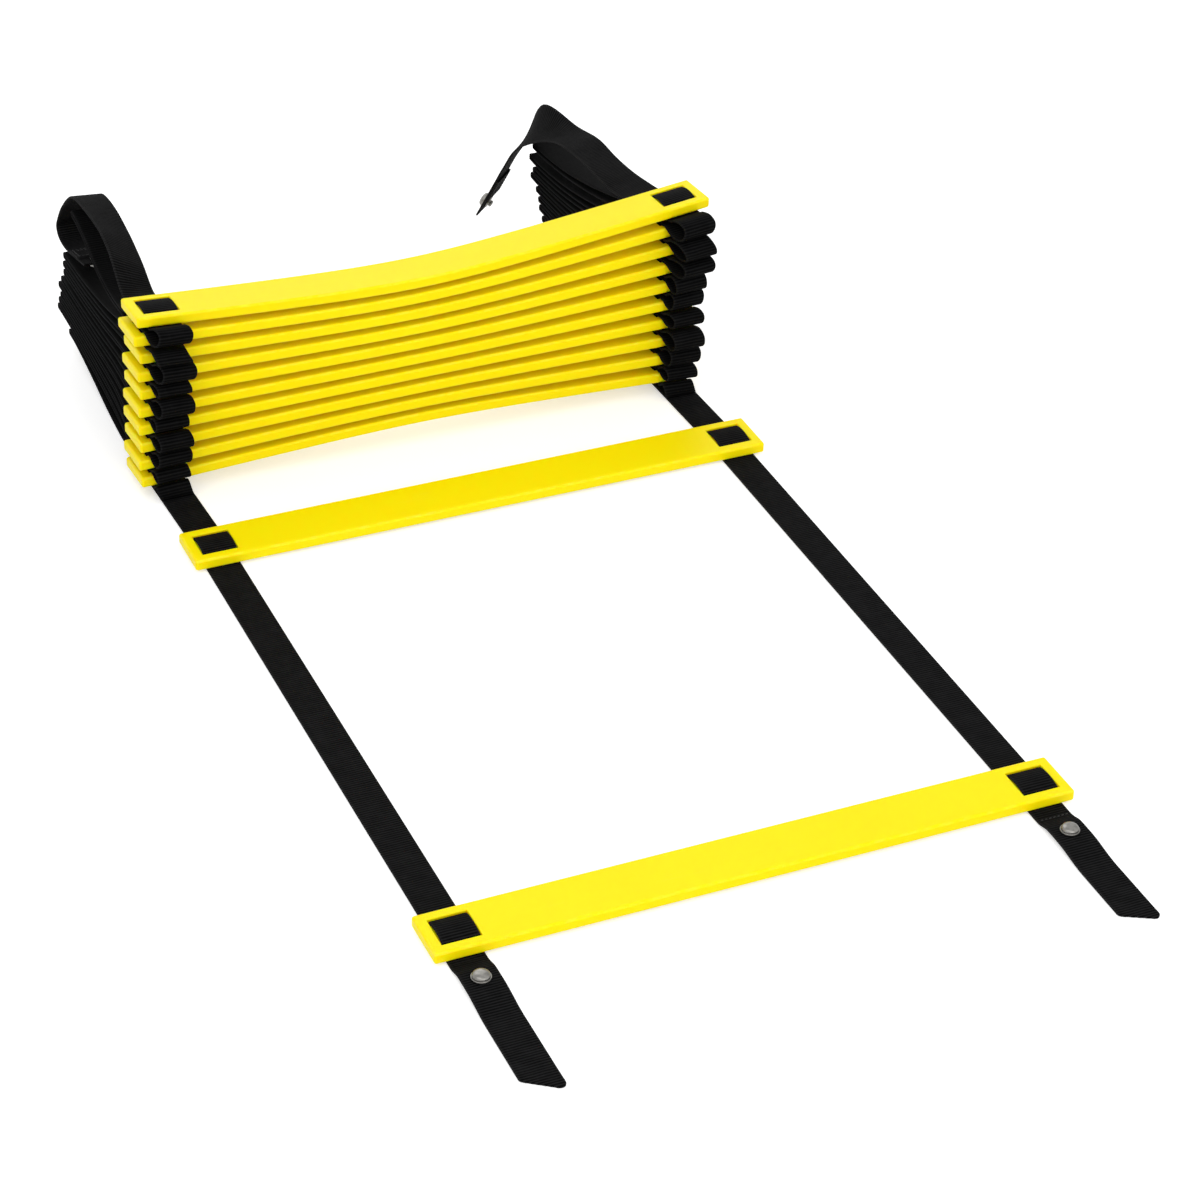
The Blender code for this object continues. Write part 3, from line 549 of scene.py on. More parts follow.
# %% [markdown]
# ## Rungs
#
# A rung is one plain bar with rounded edges and a window near either end: two slots and a sunk
# bridge that the strap turns over. It is modelled once, straight. A Geometry Nodes tree then bends
# a copy for each layer by the rule above, which is the way to go when twelve pieces differ only by
# a few numbers. The window's rims get a small chamfer of their own, as a mould gives them.


# %% One straight rung
RIM_CHAMFER = 0.0004
BEND_REACH = 0.18


def window_cutter():
    """Both windows: a bridge's space over it and a slot on each side of it."""
    deep, inner, sill = WINDOW_DEPTH / 2, BRIDGE_WIDTH / 2, RUNG_THICKNESS - BRIDGE_DROP
    low, high = -RUNG_THICKNESS, 2 * RUNG_THICKNESS
    profile = [
        (-deep, low), (-deep, high), (deep, high), (deep, low),
        (inner, low), (inner, sill), (-inner, sill), (-inner, low),
    ]
    shape = bmesh.new()
    for side in SIDES.values():
        ends = []
        for edge in (-1, 1):
            x = side * STRAP_OFFSET + edge * WINDOW_ACROSS / 2
            ends.append([shape.verts.new((x, y, z)) for y, z in profile])
        shape.faces.new(ends[0])
        shape.faces.new(list(reversed(ends[1])))
        for i in range(len(profile)):
            after = (i + 1) % len(profile)
            shape.faces.new((ends[0][after], ends[0][i], ends[1][i], ends[1][after]))
    bmesh.ops.recalc_face_normals(shape, faces=shape.faces)
    return from_shape("windows", shape)


def cut_across(shape, places):
    """Adds a line of edges across the rung at each place along it, so that it can bend."""
    for place in places:
        geometry = list(shape.verts) + list(shape.edges) + list(shape.faces)
        bmesh.ops.bisect_plane(shape, geom=geometry, plane_co=(place, 0, 0), plane_no=(1, 0, 0))


def rounded(shape, edges, radius, segments):
    """Rounds the edges with the given number of facets."""
    bmesh.ops.bevel(
        shape, geom=edges, offset=radius, segments=segments, profile=0.5, affect="EDGES", clamp_overlap=True
    )


def straight_rung():
    shape = bmesh.new()
    bmesh.ops.create_cube(shape, size=1)
    for point in shape.verts:
        point.co.x *= RUNG_LENGTH
        point.co.y *= RUNG_WIDTH
        point.co.z = RUNG_THICKNESS if point.co.z > 0 else 0
    rounded(shape, list(shape.edges), RUNG_ROUNDING, 5)
    made = from_shape("rung", shape)
    cutter = window_cutter()
    cut = made.modifiers.new("windows", "BOOLEAN")
    cut.operation, cut.solver, cut.object = "DIFFERENCE", "EXACT", cutter
    made = flattened(made)
    bpy.data.objects.remove(cutter, do_unlink=True)

    shape = bmesh.new()
    shape.from_mesh(made.data)
    bmesh.ops.remove_doubles(shape, verts=shape.verts, dist=1e-6)
    rims = []
    for edge in shape.edges:
        ends = [point.co for point in edge.verts]
        level = ends[0].z if abs(ends[0].z - ends[1].z) < 1e-6 else None
        inside = all(
            abs(end.y) < WINDOW_DEPTH / 2 + 1e-5
            and abs(abs(end.x) - STRAP_OFFSET) < WINDOW_ACROSS / 2 + 1e-5
            for end in ends
        )
        if inside and level is not None and len(edge.link_faces) == 2 and edge.calc_face_angle(0) > 1.0:
            rims.append(edge)
    rounded(shape, rims, RIM_CHAMFER, 2)
    cut_across(shape, [-STRAP_OFFSET, STRAP_OFFSET, *np.linspace(-BEND_REACH, BEND_REACH, 31)])
    bmesh.ops.triangulate(shape, faces=[face for face in shape.faces if len(face.verts) > 4])
    shape.to_mesh(made.data)
    shape.free()

    points = np.array([point.co for point in made.data.vertices])
    near = np.minimum(RUNG_LENGTH / 2 - abs(points[:, 0]), RUNG_WIDTH / 2 - abs(points[:, 1]))
    flat = np.minimum(points[:, 2], RUNG_THICKNESS - points[:, 2])
    rim = np.clip(1 - near / RUNG_ROUNDING, 0, 1) * np.clip(1 - flat / RUNG_ROUNDING, 0, 1)
    point_field(made.data, "edge", np.clip(rim * 3, 0, 1))
    return made


plain_rung = straight_rung()
print("a straight rung has", len(plain_rung.data.polygons), "faces")


# %% [markdown]
# ## Bending the rungs
#
# In the tree, the position's X and Y go through the same formula as `layer_height`, and Set
# Position moves each point up by the result. The inputs are the layer's own numbers.


# %% The bending tree
LAYER_INPUTS = ("Lift", "Tilt", "Sag", "Slope", "Shift X", "Shift Y")


def bending_tree():
    tree, nodes, inputs, result = new_tree("bend to a layer", LAYER_INPUTS)
    position = nodes.node("GeometryNodeInputPosition", {})
    split = tree.nodes.new("ShaderNodeSeparateXYZ")
    tree.links.new(position.socket, split.inputs[0])
    x, y = (Value(nodes, split.outputs[index]) for index in (0, 1))
    share = x / STRAP_OFFSET
    knee_top = math.sqrt(1 + KNEE**2) - KNEE
    bow = 1 - ((share * share + KNEE**2) ** 0.5 - KNEE) / knee_top
    along = y.math("MINIMUM", HALF_WIDTH).larger(-HALF_WIDTH)
    up = inputs["Lift"] + inputs["Tilt"] * x - inputs["Sag"] * bow - inputs["Slope"] * along
    offset = nodes.vector(inputs["Shift X"], inputs["Shift Y"], up)
    moved = nodes.node("GeometryNodeSetPosition", {}, inputs["Geometry"], sockets={"Offset": offset})
    end_tree(nodes, moved, YELLOW, result)
    return tree


bend = bending_tree()
rung_bodies = {1: "first_rung", 2: "second_rung", 3: "stack_base"}
for number in range(1, RUNG_COUNT + 1):
    rung = linked(f"rung_{number:02d}_plastic", plain_rung.data.copy(), YELLOW)
    if number < FIRST_STACKED:
        numbers = (FLOOR_RUNG_HEIGHT, 0.0, 0.0, 0.0, ZERO[0], ZERO[1] + RUNG_SPACING * (number - 1))
    else:
        numbers = (*layer_numbers(number), SLOPE, ZERO[0] + layer_shift(number), ZERO[1] + STACK_DISTANCE)
    with_tree(rung, bend, dict(zip(LAYER_INPUTS, map(float, numbers))))
    smooth = rung.modifiers.new("even shading", "WEIGHTED_NORMAL")
    smooth.keep_sharp = True
    rung = flattened(rung)
    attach(rung, rung_bodies.get(number, f"layer_{number:02d}"))
    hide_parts(f"rung_{number:02d}")
bpy.data.objects.remove(plain_rung, do_unlink=True)
print("rungs made:", RUNG_COUNT)

# %% [markdown]
# ## Paths of the straps
#
# A strap is described by pairs of points, its left edge and its right edge, at stations along it.
# Pairs are better than one centre line here: where a strap twists or leans, each edge simply goes
# where it should. Through a window the path rises in the front slot, turns over the bridge and
# drops in the rear slot.


# %% Path helpers
SLOT_RADIUS = 0.002
UNDER_INSET = 0.004
CROWN_INSET = 0.0011
CROWN_RISE = 0.0005
TURN_START = 0.0004


def eased(share):
    return share * share * (3 - 2 * share)


def arc(centre_y, centre_z, radius, first, last, steps):
    angles = np.radians(np.linspace(first, last, steps + 1))
    return [(centre_y + radius * math.cos(a), centre_z + radius * math.sin(a)) for a in angles]


def window_path(from_under, crown_rise=CROWN_RISE, slot_line=SLOT_LINE, top_radius=SLOT_RADIUS):
    """Up the front slot, over the bridge, down the rear slot."""
    if from_under:
        rising = arc(-(slot_line + SLOT_RADIUS), UNDER + SLOT_RADIUS, SLOT_RADIUS, -90, 0, 5)
    else:
        rising = [(-slot_line, TURN_START)]
    half = rising + arc(-(slot_line - top_radius), OVER - top_radius, top_radius, 180, 90, 5)
    edge = slot_line - top_radius
    places = np.linspace(CROWN_INSET - edge, edge - CROWN_INSET, 9)
    crown = [(y, OVER + crown_rise * (1 - (y / edge) ** 2)) for y in places]
    if from_under:
        half = [(-(HALF_WIDTH - UNDER_INSET), UNDER)] + half
    return half + crown + [(-y, z) for y, z in reversed(half)]


def edge_pair(side, y, left_z, right_z, shift):
    centre = side * STRAP_OFFSET + shift
    y += STACK_DISTANCE
    return ((centre - HALF_STRAP, y, left_z), (centre + HALF_STRAP, y, right_z))


def on_layer(side, y, layer, rise, hold=1.0, height=None):
    """An edge pair at a height, or at a rise over a layer. It keeps the share hold of the layer's tilt."""
    centre = side * STRAP_OFFSET
    here = layer_height(layer, centre, y)
    middle = here + rise if height is None else height
    ends = [
        middle + hold * (layer_height(layer, centre + edge, y) - here) for edge in (-HALF_STRAP, HALF_STRAP)
    ]
    shift = STACK_SHIFT + (layer_shift(layer) - STACK_SHIFT) * tilt_hold(y)
    return edge_pair(side, y, *ends, shift)


def flat_pair(side, y, z=FLAT):
    centre = side * STRAP_OFFSET
    return ((centre - HALF_STRAP, y, z), (centre + HALF_STRAP, y, z))


def smoothed(rows, steps):
    """A Catmull-Rom curve through all the rows."""
    rows = np.array(rows, float)
    padded = np.concatenate([[2 * rows[0] - rows[1]], rows, [2 * rows[-1] - rows[-2]]])
    shares = np.arange(steps)[:, None] / steps
    made = []
    for before, here, there, after in zip(padded, padded[1:], padded[2:], padded[3:]):
        made.append(
            here
            + (there - before) / 2 * shares
            + (2 * before - 5 * here + 4 * there - after) / 2 * shares**2
            + (3 * here - before - 3 * there + after) / 2 * shares**3
        )
    return np.concatenate([*made, rows[-1:]])


def rows_of(pairs):
    return np.array([(*left, *right) for left, right in pairs], float)


def path_length(rows):
    """Length along the middle of a strap up to each of its rows."""
    middle = (rows[:, :3] + rows[:, 3:]) / 2
    return np.concatenate([[0], np.cumsum(np.linalg.norm(np.diff(middle, axis=0), axis=1))])


OPEN_TURN = {"crown_rise": 0.0015, "slot_line": 0.0110, "top_radius": 0.0013}
print("path through a window:", len(window_path(True)), "points")

# %% [markdown]
# ## The long loops and the short rolls
#
# Behind the stack the strap of each layer runs out, sags under its own weight, turns back on
# itself and returns over the rung. In front it bulges out in a short roll and goes in under the
# next rung. The reach and height of each loop, and each roll's reach, fullness and sideways lean,
# are read off the photograph. They are written as shares of one size that all of them have in
# common, so the whole stack can be made fuller or slimmer by one number.

# %% Loops and rolls
LOOP_LENGTH = 0.200
LOOP_HEIGHT = 0.080
LEG_SEPARATION = 0.0036
LOOP_SHARES = {
    -1: {2: (0.975, 0.250), 3: (1.115, 0.344), 4: (1.095, 0.437), 5: (1.065, 0.530), 6: (1.082, 0.615),
         7: (1.040, 0.725), 8: (0.998, 0.850), 9: (0.998, 0.940), 10: (0.985, 1.045)},
    1: {2: (0.950, 0.163), 3: (1.025, 0.319), 4: (1.055, 0.425), 5: (1.085, 0.512), 6: (1.095, 0.594),
        7: (1.120, 0.675), 8: (1.175, 0.762), 9: (1.155, 0.844), 10: (1.190, 0.944), 11: (1.160, 1.100)},
}
LEG_SHARES = (0.06, 0.16, 0.30, 0.48, 0.70, 0.90)
TOP_LOOP_SHARES = ((0.146, 0.56), (0.396, 0.41), (0.618, 0.53), (0.782, 0.77), (0.93, 0.93), (1.04, 0.985))
TOP_LOOP_LAYER = RUNG_COUNT - 1
TOP_LOOP_LENGTH = 0.140
TOP_LOOP_BASE = 0.100
TOP_LOOP_HEIGHT = 0.035
ROLL_DEPTH = 0.026
ROLL_SWELL = 0.004
ROLL_SHARES = {
    -1: {2: 0.36, 3: 0.44, 4: 0.52, 5: 0.62, 6: 0.48, 7: 0.68, 8: 0.56, 9: 0.72, 10: 0.80, 11: 0.66},
    1: {2: 0.36, 3: 0.46, 4: 0.60, 5: 0.80, 6: 0.58, 7: 0.50, 8: 0.68, 9: 0.94, 10: 1.00, 11: 0.86},
}
SWELL_SHARES = {
    -1: {2: 0.90, 3: 0.80, 4: 1.00, 5: 1.15, 6: 0.70, 7: 1.25, 8: 0.75, 9: 1.30, 10: 0.80, 11: 1.15},
    1: {2: 0.90, 3: 0.85, 4: 1.10, 5: 1.20, 6: 0.80, 7: 1.00, 8: 1.20, 9: 0.85, 10: 1.30, 11: 1.15},
}
ROLL_LEAN = 0.0035
LEAN_SHARES = {
    -1: {2: 0.0, 3: 0.2, 4: 0.5, 5: 0.6, 6: 0.1, 7: 0.7, 8: 0.4, 9: 1.0, 10: 0.1, 11: 0.9},
    1: {2: 0.0, 3: 0.6, 4: 0.6, 5: 0.5, 6: 0.9, 7: 0.5, 8: 0.3, 9: 0.9, 10: 1.0, 11: 1.0},
}
ROLL_SHAPE_SHARES = (
    (0.00, 0.00, 0.00), (0.30, 0.00, -0.45), (0.65, 0.00, -0.72), (0.92, 0.10, -0.45), (1.00, 0.50, 0.10),
    (0.92, 0.88, 0.60), (0.65, 1.00, 1.00), (0.30, 1.00, 0.65), (0.06, 1.00, 0.05),
)
BASE_RUN_BEHIND = 0.060
DROOP_REACH_AND_POWER = {-1: (0.180, 2), 1: (0.205, 1.6)}
TILT_FADE = 0.055


def behind(y, distance):
    """How far behind the rung y is, as a share of a distance, from 0 to 1."""
    return max(0, min(1, (y - HALF_WIDTH) / distance))


def droop(y, side):
    """The share of its whole fall that a leg of a loop has made at y."""
    reach, power = DROOP_REACH_AND_POWER[side]
    return 1 - (1 - behind(y, reach)) ** power


def tilt_hold(y):
    """The share of the rung's tilt that the strap still keeps at y."""
    return 1 - eased(behind(y, TILT_FADE))


def loop_pairs(side, layer):
    """Down the lower leg, round the far end and back along the upper leg."""
    reach, height = LOOP_SHARES[side][layer]
    reach, height = reach * LOOP_LENGTH, height * LOOP_HEIGHT
    edge_height = layer_height(layer, side * STRAP_OFFSET, HALF_WIDTH)
    half = LEG_SEPARATION / 2
    on_floor = layer < FIRST_STACKED
    lower = FLAT if on_floor else edge_height + UNDER
    upper = SECOND_FLAT if on_floor else edge_height + RETURN
    stop = reach - half
    leg = [HALF_WIDTH + share * (stop - HALF_WIDTH) for share in LEG_SHARES]
    made = []
    for y in leg:
        hold, fallen = (0, 0) if on_floor else (tilt_hold(y), droop(y, side))
        if on_floor:
            share = (y - BASE_RUN_BEHIND) / (stop - BASE_RUN_BEHIND)
            if share <= 0:
                continue
            fallen = eased(share)
        made.append(on_layer(side, y, layer, 0, hold, lower + (height - half - lower) * fallen))
    for angle in np.radians(np.linspace(-90, 90, 9)):
        y, z = stop + half * math.cos(angle), height + half * math.sin(angle)
        made.append(on_layer(side, y, layer, 0, 0, z))
    for y in reversed(leg):
        hold = 0 if on_floor else tilt_hold(y)
        made.append(on_layer(side, y, layer, 0, hold, upper + (height + half - upper) * droop(y, side)))
    return made


def standing_loop_pairs():
    """The left top loop, which stands up inside the arch of the tail."""
    path = np.array([
        (HALF_WIDTH + share * TOP_LOOP_LENGTH, TOP_LOOP_BASE + rise * TOP_LOOP_HEIGHT)
        for share, rise in TOP_LOOP_SHARES
    ])
    steps = np.gradient(path, axis=0)
    steps /= np.linalg.norm(steps, axis=1)[:, None]
    lower = path - np.stack([-steps[:, 1], steps[:, 0]], axis=1) * LEG_SEPARATION
    end, up = (path[-1] + lower[-1]) / 2, (path[-1] - lower[-1]) / 2
    made = [on_layer(-1, y, TOP_LOOP_LAYER, 0, tilt_hold(y), z) for y, z in lower[:-1]]
    for angle in np.radians(np.linspace(-90, 90, 9)):
        y, z = end + steps[-1] * math.cos(angle) * LEG_SEPARATION / 2 + up * math.sin(angle)
        made.append(on_layer(-1, y, TOP_LOOP_LAYER, 0, 0, z))
    return made + [on_layer(-1, y, TOP_LOOP_LAYER, 0, tilt_hold(y), z) for y, z in reversed(path[:-1])]


def roll_pairs(side, layer):
    """From over a rung out in front of the stack and in under the next one."""
    reach = ROLL_SHARES[side][layer] * ROLL_DEPTH
    aside = layer_shift(layer + 1) - layer_shift(layer)
    made = []
    for out, mix, swell in ROLL_SHAPE_SHARES:
        y = -HALF_WIDTH - out * reach
        if layer < FIRST_STACKED and mix < 0.4:
            swell = 0  # the lowest roll lies on the strap below it and can't sink
        ends = []
        for edge in (-HALF_STRAP, HALF_STRAP):
            x = side * STRAP_OFFSET + edge
            low = SECOND_FLAT if layer < FIRST_STACKED else layer_height(layer, x, y) + RETURN
            high = layer_height(layer + 1, x, y) + UNDER
            ends.append(low + mix * (high - low) + swell * SWELL_SHARES[side][layer] * ROLL_SWELL)
        shift = layer_shift(layer) + mix * aside + out * out * LEAN_SHARES[side][layer] * ROLL_LEAN
        made.append(edge_pair(side, y, *ends, shift))
    return made + [on_layer(side, -(HALF_WIDTH - UNDER_INSET) - GAP, layer + 1, UNDER)]


for word, tables in (("loops with a table row", LOOP_SHARES), ("rolls", ROLL_SHARES)):
    print(word, sum(len(table) for table in tables.values()))

# %% [markdown]
# ## The free ends behind the stack
#
# The left one stands up in an arch and curls back under itself. The right one rises over its
# loops, folds at a sharp crease and hangs down, so its two edges have their own places.

# %% Rear tails
REAR_TAIL_LENGTH = 0.200
LEFT_TAIL_SHARES = (
    (0.190, -0.024, 0.006), (0.250, -0.014, 0.020), (0.350, 0.046, 0.035), (0.435, 0.074, 0.036),
    (0.505, 0.086, 0.030), (0.650, 0.093, 0.015), (0.780, 0.080, 0.008), (0.860, 0.048, 0.004),
    (0.970, -0.042, 0.000), (1.040, -0.126, 0.000), (1.058, -0.165, 0.000), (1.030, -0.196, 0.000),
    (0.950, -0.199, 0.000), (0.825, -0.172, 0.000), (0.700, -0.142, 0.000),
)
RIGHT_TAIL_SHARES = (
    ((-0.060, 0.210, -0.064), (0.060, 0.210, -0.046)),
    ((-0.070, 0.330, -0.099), (0.050, 0.340, -0.064)),
    ((-0.080, 0.450, -0.101), (0.042, 0.450, -0.074)),
    ((-0.083, 0.598, -0.100), (0.040, 0.585, -0.082)),
    ((-0.085, 0.765, -0.114), (0.037, 0.745, -0.080)),
    ((-0.085, 0.905, -0.147), (0.034, 0.935, -0.116)),
    ((-0.097, 1.060, -0.221), (-0.010, 1.175, -0.121)),
    ((-0.114, 1.209, -0.321), (-0.024, 1.292, -0.316)),
    ((-0.150, 1.244, -0.409), (-0.060, 1.327, -0.404)),
    ((-0.176, 1.272, -0.487), (-0.086, 1.355, -0.482)),
    ((-0.215, 1.314, -0.604), (-0.125, 1.397, -0.599)),
    ((-0.228, 1.328, -0.643), (-0.138, 1.411, -0.638)),
)


def rear_tail_rows(side):
    centre = side * STRAP_OFFSET
    level = layer_height(RUNG_COUNT, centre, HALF_WIDTH)
    pairs = [on_layer(side, HALF_WIDTH, RUNG_COUNT, UNDER)]
    if side < 0:
        for shares in LEFT_TAIL_SHARES:
            y, z, rise = (share * REAR_TAIL_LENGTH for share in shares)
            pairs.append(edge_pair(side, y, level + z + rise, level + z - rise, layer_shift(RUNG_COUNT)))
    else:
        origin = np.array([centre + layer_shift(RUNG_COUNT), STACK_DISTANCE, level])
        pairs += [origin + np.array(ends) * REAR_TAIL_LENGTH for ends in RIGHT_TAIL_SHARES]
    return smoothed(rows_of(pairs), 8)


for name, side in SIDES.items():
    print(name, "rear tail is", round(float(path_length(rear_tail_rows(side))[-1]), 3), "m long")

# %% [markdown]
# ## Webbing as a mesh
#
# The stations become rings of one closed strip, half a millimetre apart. A ring has a flat top and
# bottom and rounded edges. It could be a curve with a bevel, but a curve can't take two edges that
# go their own ways. Each point keeps its place along and across the strap for the weave.

# %% A strip of webbing
RING_SPACING = 0.0005
FACE_SHARES = (-0.94, -0.72, -0.36, 0.0, 0.36, 0.72, 0.94)
RING = (
    [(share, 1.0, 1.0) for share in FACE_SHARES]
    + [(0.985, 0.62, 0.0), (1.0, 0.0, 0.0), (0.985, -0.62, 0.0)]
    + [(share, -1.0, -1.0) for share in reversed(FACE_SHARES)]
    + [(-0.985, -0.62, 0.0), (-1.0, 0.0, 0.0), (-0.985, 0.62, 0.0)]
)


def resampled(rows, spacing):
    """Evenly spaced rows along a strap, and how far along it each one is."""
    length = path_length(rows)
    count = max(2, round(length[-1] / spacing))
    places = np.linspace(0, length[-1], count + 1)
    return np.stack([np.interp(places, length, rows[:, i]) for i in range(6)], axis=1), places


def across_and_normal(rows):
    """From the left edge to the right one, and the strap's unit normal, at each row."""
    across = rows[:, 3:] - rows[:, :3]
    normal = np.cross(across, np.gradient((rows[:, :3] + rows[:, 3:]) / 2, axis=0))
    return across, normal / np.linalg.norm(normal, axis=1)[:, None]


def strip(name, rows, start=0.0, spacing=RING_SPACING, limits=None, material=WEBBING):
    """A closed strip of webbing along the rows. limits gives the shares of its width that are there."""
    rows, places = resampled(rows, spacing)
    across, normal = across_and_normal(rows)
    whole = np.ones(len(rows))
    low, high = limits(places) if limits else (-whole, whole)
    ring = np.array(RING)
    share = low[:, None] + (ring[:, 0] + 1) / 2 * (high - low)[:, None]
    points = ((rows[:, :3] + rows[:, 3:]) / 2)[:, None] + share[:, :, None] * (across / 2)[:, None]
    points = points + (ring[:, 1] * FLAT)[:, None] * normal[:, None]
    count = len(ring)
    first = np.arange(len(rows) - 1)[:, None] * count
    here = (first + np.arange(count)).reshape(-1)
    after = (first + np.roll(np.arange(count), -1)).reshape(-1)
    faces = np.stack([here, here + count, after + count, after], axis=1).tolist()
    last = (len(rows) - 1) * count
    faces += [list(range(count)), [last + i for i in reversed(range(count))]]
    mesh = bpy.data.meshes.new(name)
    mesh.from_pydata((points + ZERO).reshape(-1, 3).tolist(), [], faces)
    point_field(mesh, "along", np.repeat(places + start, count))
    point_field(mesh, "across", (share * HALF_STRAP).reshape(-1))
    point_field(mesh, "face", np.tile(ring[:, 2], len(rows)))
    mesh.shade_smooth()
    mesh.set_sharp_from_angle(angle=math.radians(60))
    return linked(name, mesh, material)


# %% [markdown]
# ## Ribs that stand proud
#
# Bump alone would leave the strap's outline dead straight, so the cross ribs are real: a Geometry
# Nodes tree pushes each point out along its normal by a wave in its place along the strap. Noise
# makes the ribs wander a little, and the selvages stay flat. The top and bottom faces are half a
# rib apart, as in a real weave.


# %% The rib tree
RIBS_END = (HALF_STRAP - 0.0020, HALF_STRAP - 0.0008)
FLAT_RIB = 0.00009
TAIL_RIB = 0.00006
FOLD_RIB = 0.00005


def rib_tree(material):
    tree, nodes, inputs, result = new_tree("webbing ribs", ("Rib Pitch", "Rib Height", "Rib Wander"))
    along, across, face = (
        nodes.node("GeometryNodeInputNamedAttribute", {"data_type": "FLOAT"}, name)
        for name in ("along", "across", "face")
    )
    cloth = nodes.vector(along * 220.0, across * 60.0)
    wander = (nodes.noise(cloth, 1.0) - 0.5) * inputs["Rib Wander"]
    wave = ((along + wander) * math.tau / inputs["Rib Pitch"] + face * (math.pi / 2)).cosine()
    ribbed_part = 1 - across.absolute().between(*RIBS_END)
    push = wave * inputs["Rib Height"] * ribbed_part * face.absolute()
    normal = nodes.node("GeometryNodeInputNormal", {})
    push = nodes.node("ShaderNodeVectorMath", {"operation": "SCALE"}, normal, sockets={"Scale": push})
    moved = nodes.node("GeometryNodeSetPosition", {}, inputs["Geometry"], sockets={"Offset": push})
    end_tree(nodes, moved, material, result)
    return tree


ribs = {material: rib_tree(material) for material in (WEBBING, FOLDED_PAINTED_SHADE)}


def webbing(name, rows, rib_height, start=0.0, **options):
    """A strip along the rows with its ribs raised, as a plain mesh."""
    cloth = strip(name, rows, start, **options)
    sizes = {"Rib Pitch": RIB_PITCH, "Rib Height": rib_height, "Rib Wander": RIB_WANDER}
    made = flattened(with_tree(cloth, ribs[cloth.data.materials[0]], sizes))
    return made


print("ring of a strip:", len(RING), "points")

# %% [markdown]
# ## The straps, piece by piece
#
# Where the strap bends at a joint it is one piece: the laid-out bay where it folds up in front of
# rung 2, each front end at rung 1, and each roll in the stack between its rung and the next one.
# Apart from the lowest roll, which moves with the stack's base, these pieces stay where they are made.

# %% Straps of the laid-out bay
HINGE_HEIGHT = STRAP_THICKNESS
JOIN_BEHIND = 0.0105
FRONT_TAILS = {-1: (0.129, 0.1455, 0.0422), 1: (0.1275, 0.1400, 0.0480)}
SOCKET_HEIGHT = 0.0024
SNAP_LIFT = SOCKET_HEIGHT + GAP + FLAT
SNAP_FLAT = 0.0058
RAMP_TO_HINGE, RAMP_TO_TIP = 0.0190, 0.0360
RAMP_SHARES = (1, 0.75, 0.5, 0.25, 0)
FLAT_FROM_SNAP = 0.040
SLANT_FROM = 0.003
TIP_RADIUS = 0.0035
TIP_RING_SPACING = 0.00045
BEND_REACH_AT_HINGE = np.array([0, 0.0035, 0])


def rounded_tip(short, long):
    """Outline of the strap's slanted end with both corners rounded, and the index of its lowest point."""
    places = ((-HALF_STRAP, 0), (-HALF_STRAP, -short), (HALF_STRAP, -long), (HALF_STRAP, 0))
    corners = [Vector(place) for place in places]
    line = [corners[0]]
    for before, here, after in zip(corners, corners[1:], corners[2:]):
        one, two = (before - here).normalized(), (after - here).normalized()
        half = one.angle(two) / 2
        centre = here + (one + two).normalized() * (TIP_RADIUS / math.sin(half))
        touch = TIP_RADIUS / math.tan(half)
        first, last = ((here + way * touch - centre).normalized() for way in (one, two))
        line += [centre + first.slerp(last, share) * TIP_RADIUS for share in np.linspace(0, 1, 9)]
    line.append(corners[-1])
    outline = np.array([(point.x / HALF_STRAP, point.y) for point in line])
    return outline, int(outline[:, 1].argmin())


def front_tail_rows(side):
    """Flat from the hinge, up over the snap's socket and down to the floor, as far as the tip."""
    short, long, snap = FRONT_TAILS[side]
    pairs = [flat_pair(side, TAIL_HINGE + JOIN_BEHIND), flat_pair(side, TAIL_HINGE)]
    for sign, ramp, shares in ((1, RAMP_TO_HINGE, RAMP_SHARES), (-1, RAMP_TO_TIP, reversed(RAMP_SHARES))):
        for share in shares:
            y = -snap + sign * (SNAP_FLAT + share * (ramp - SNAP_FLAT))
            pairs.append(flat_pair(side, y, SNAP_LIFT + eased(share) * (FLAT - SNAP_LIFT)))
    outline, lowest = rounded_tip(short, long)
    bottom = outline[lowest, 1] + 0.00001
    pairs += [flat_pair(side, y) for y in np.linspace(-snap - FLAT_FROM_SNAP, -short + SLANT_FROM + 0.001, 6)]
    pairs += [flat_pair(side, y) for y in np.linspace(-short + SLANT_FROM, bottom, 20)]
    return smoothed(rows_of(pairs), 4), outline, lowest


def hinge_ends(side, y):
    """The two places between which a strap bends at a hinge, behind it and in front of it."""
    hinge = np.array([side * STRAP_OFFSET, y, HINGE_HEIGHT]) + ZERO
    return hinge + BEND_REACH_AT_HINGE, hinge - BEND_REACH_AT_HINGE


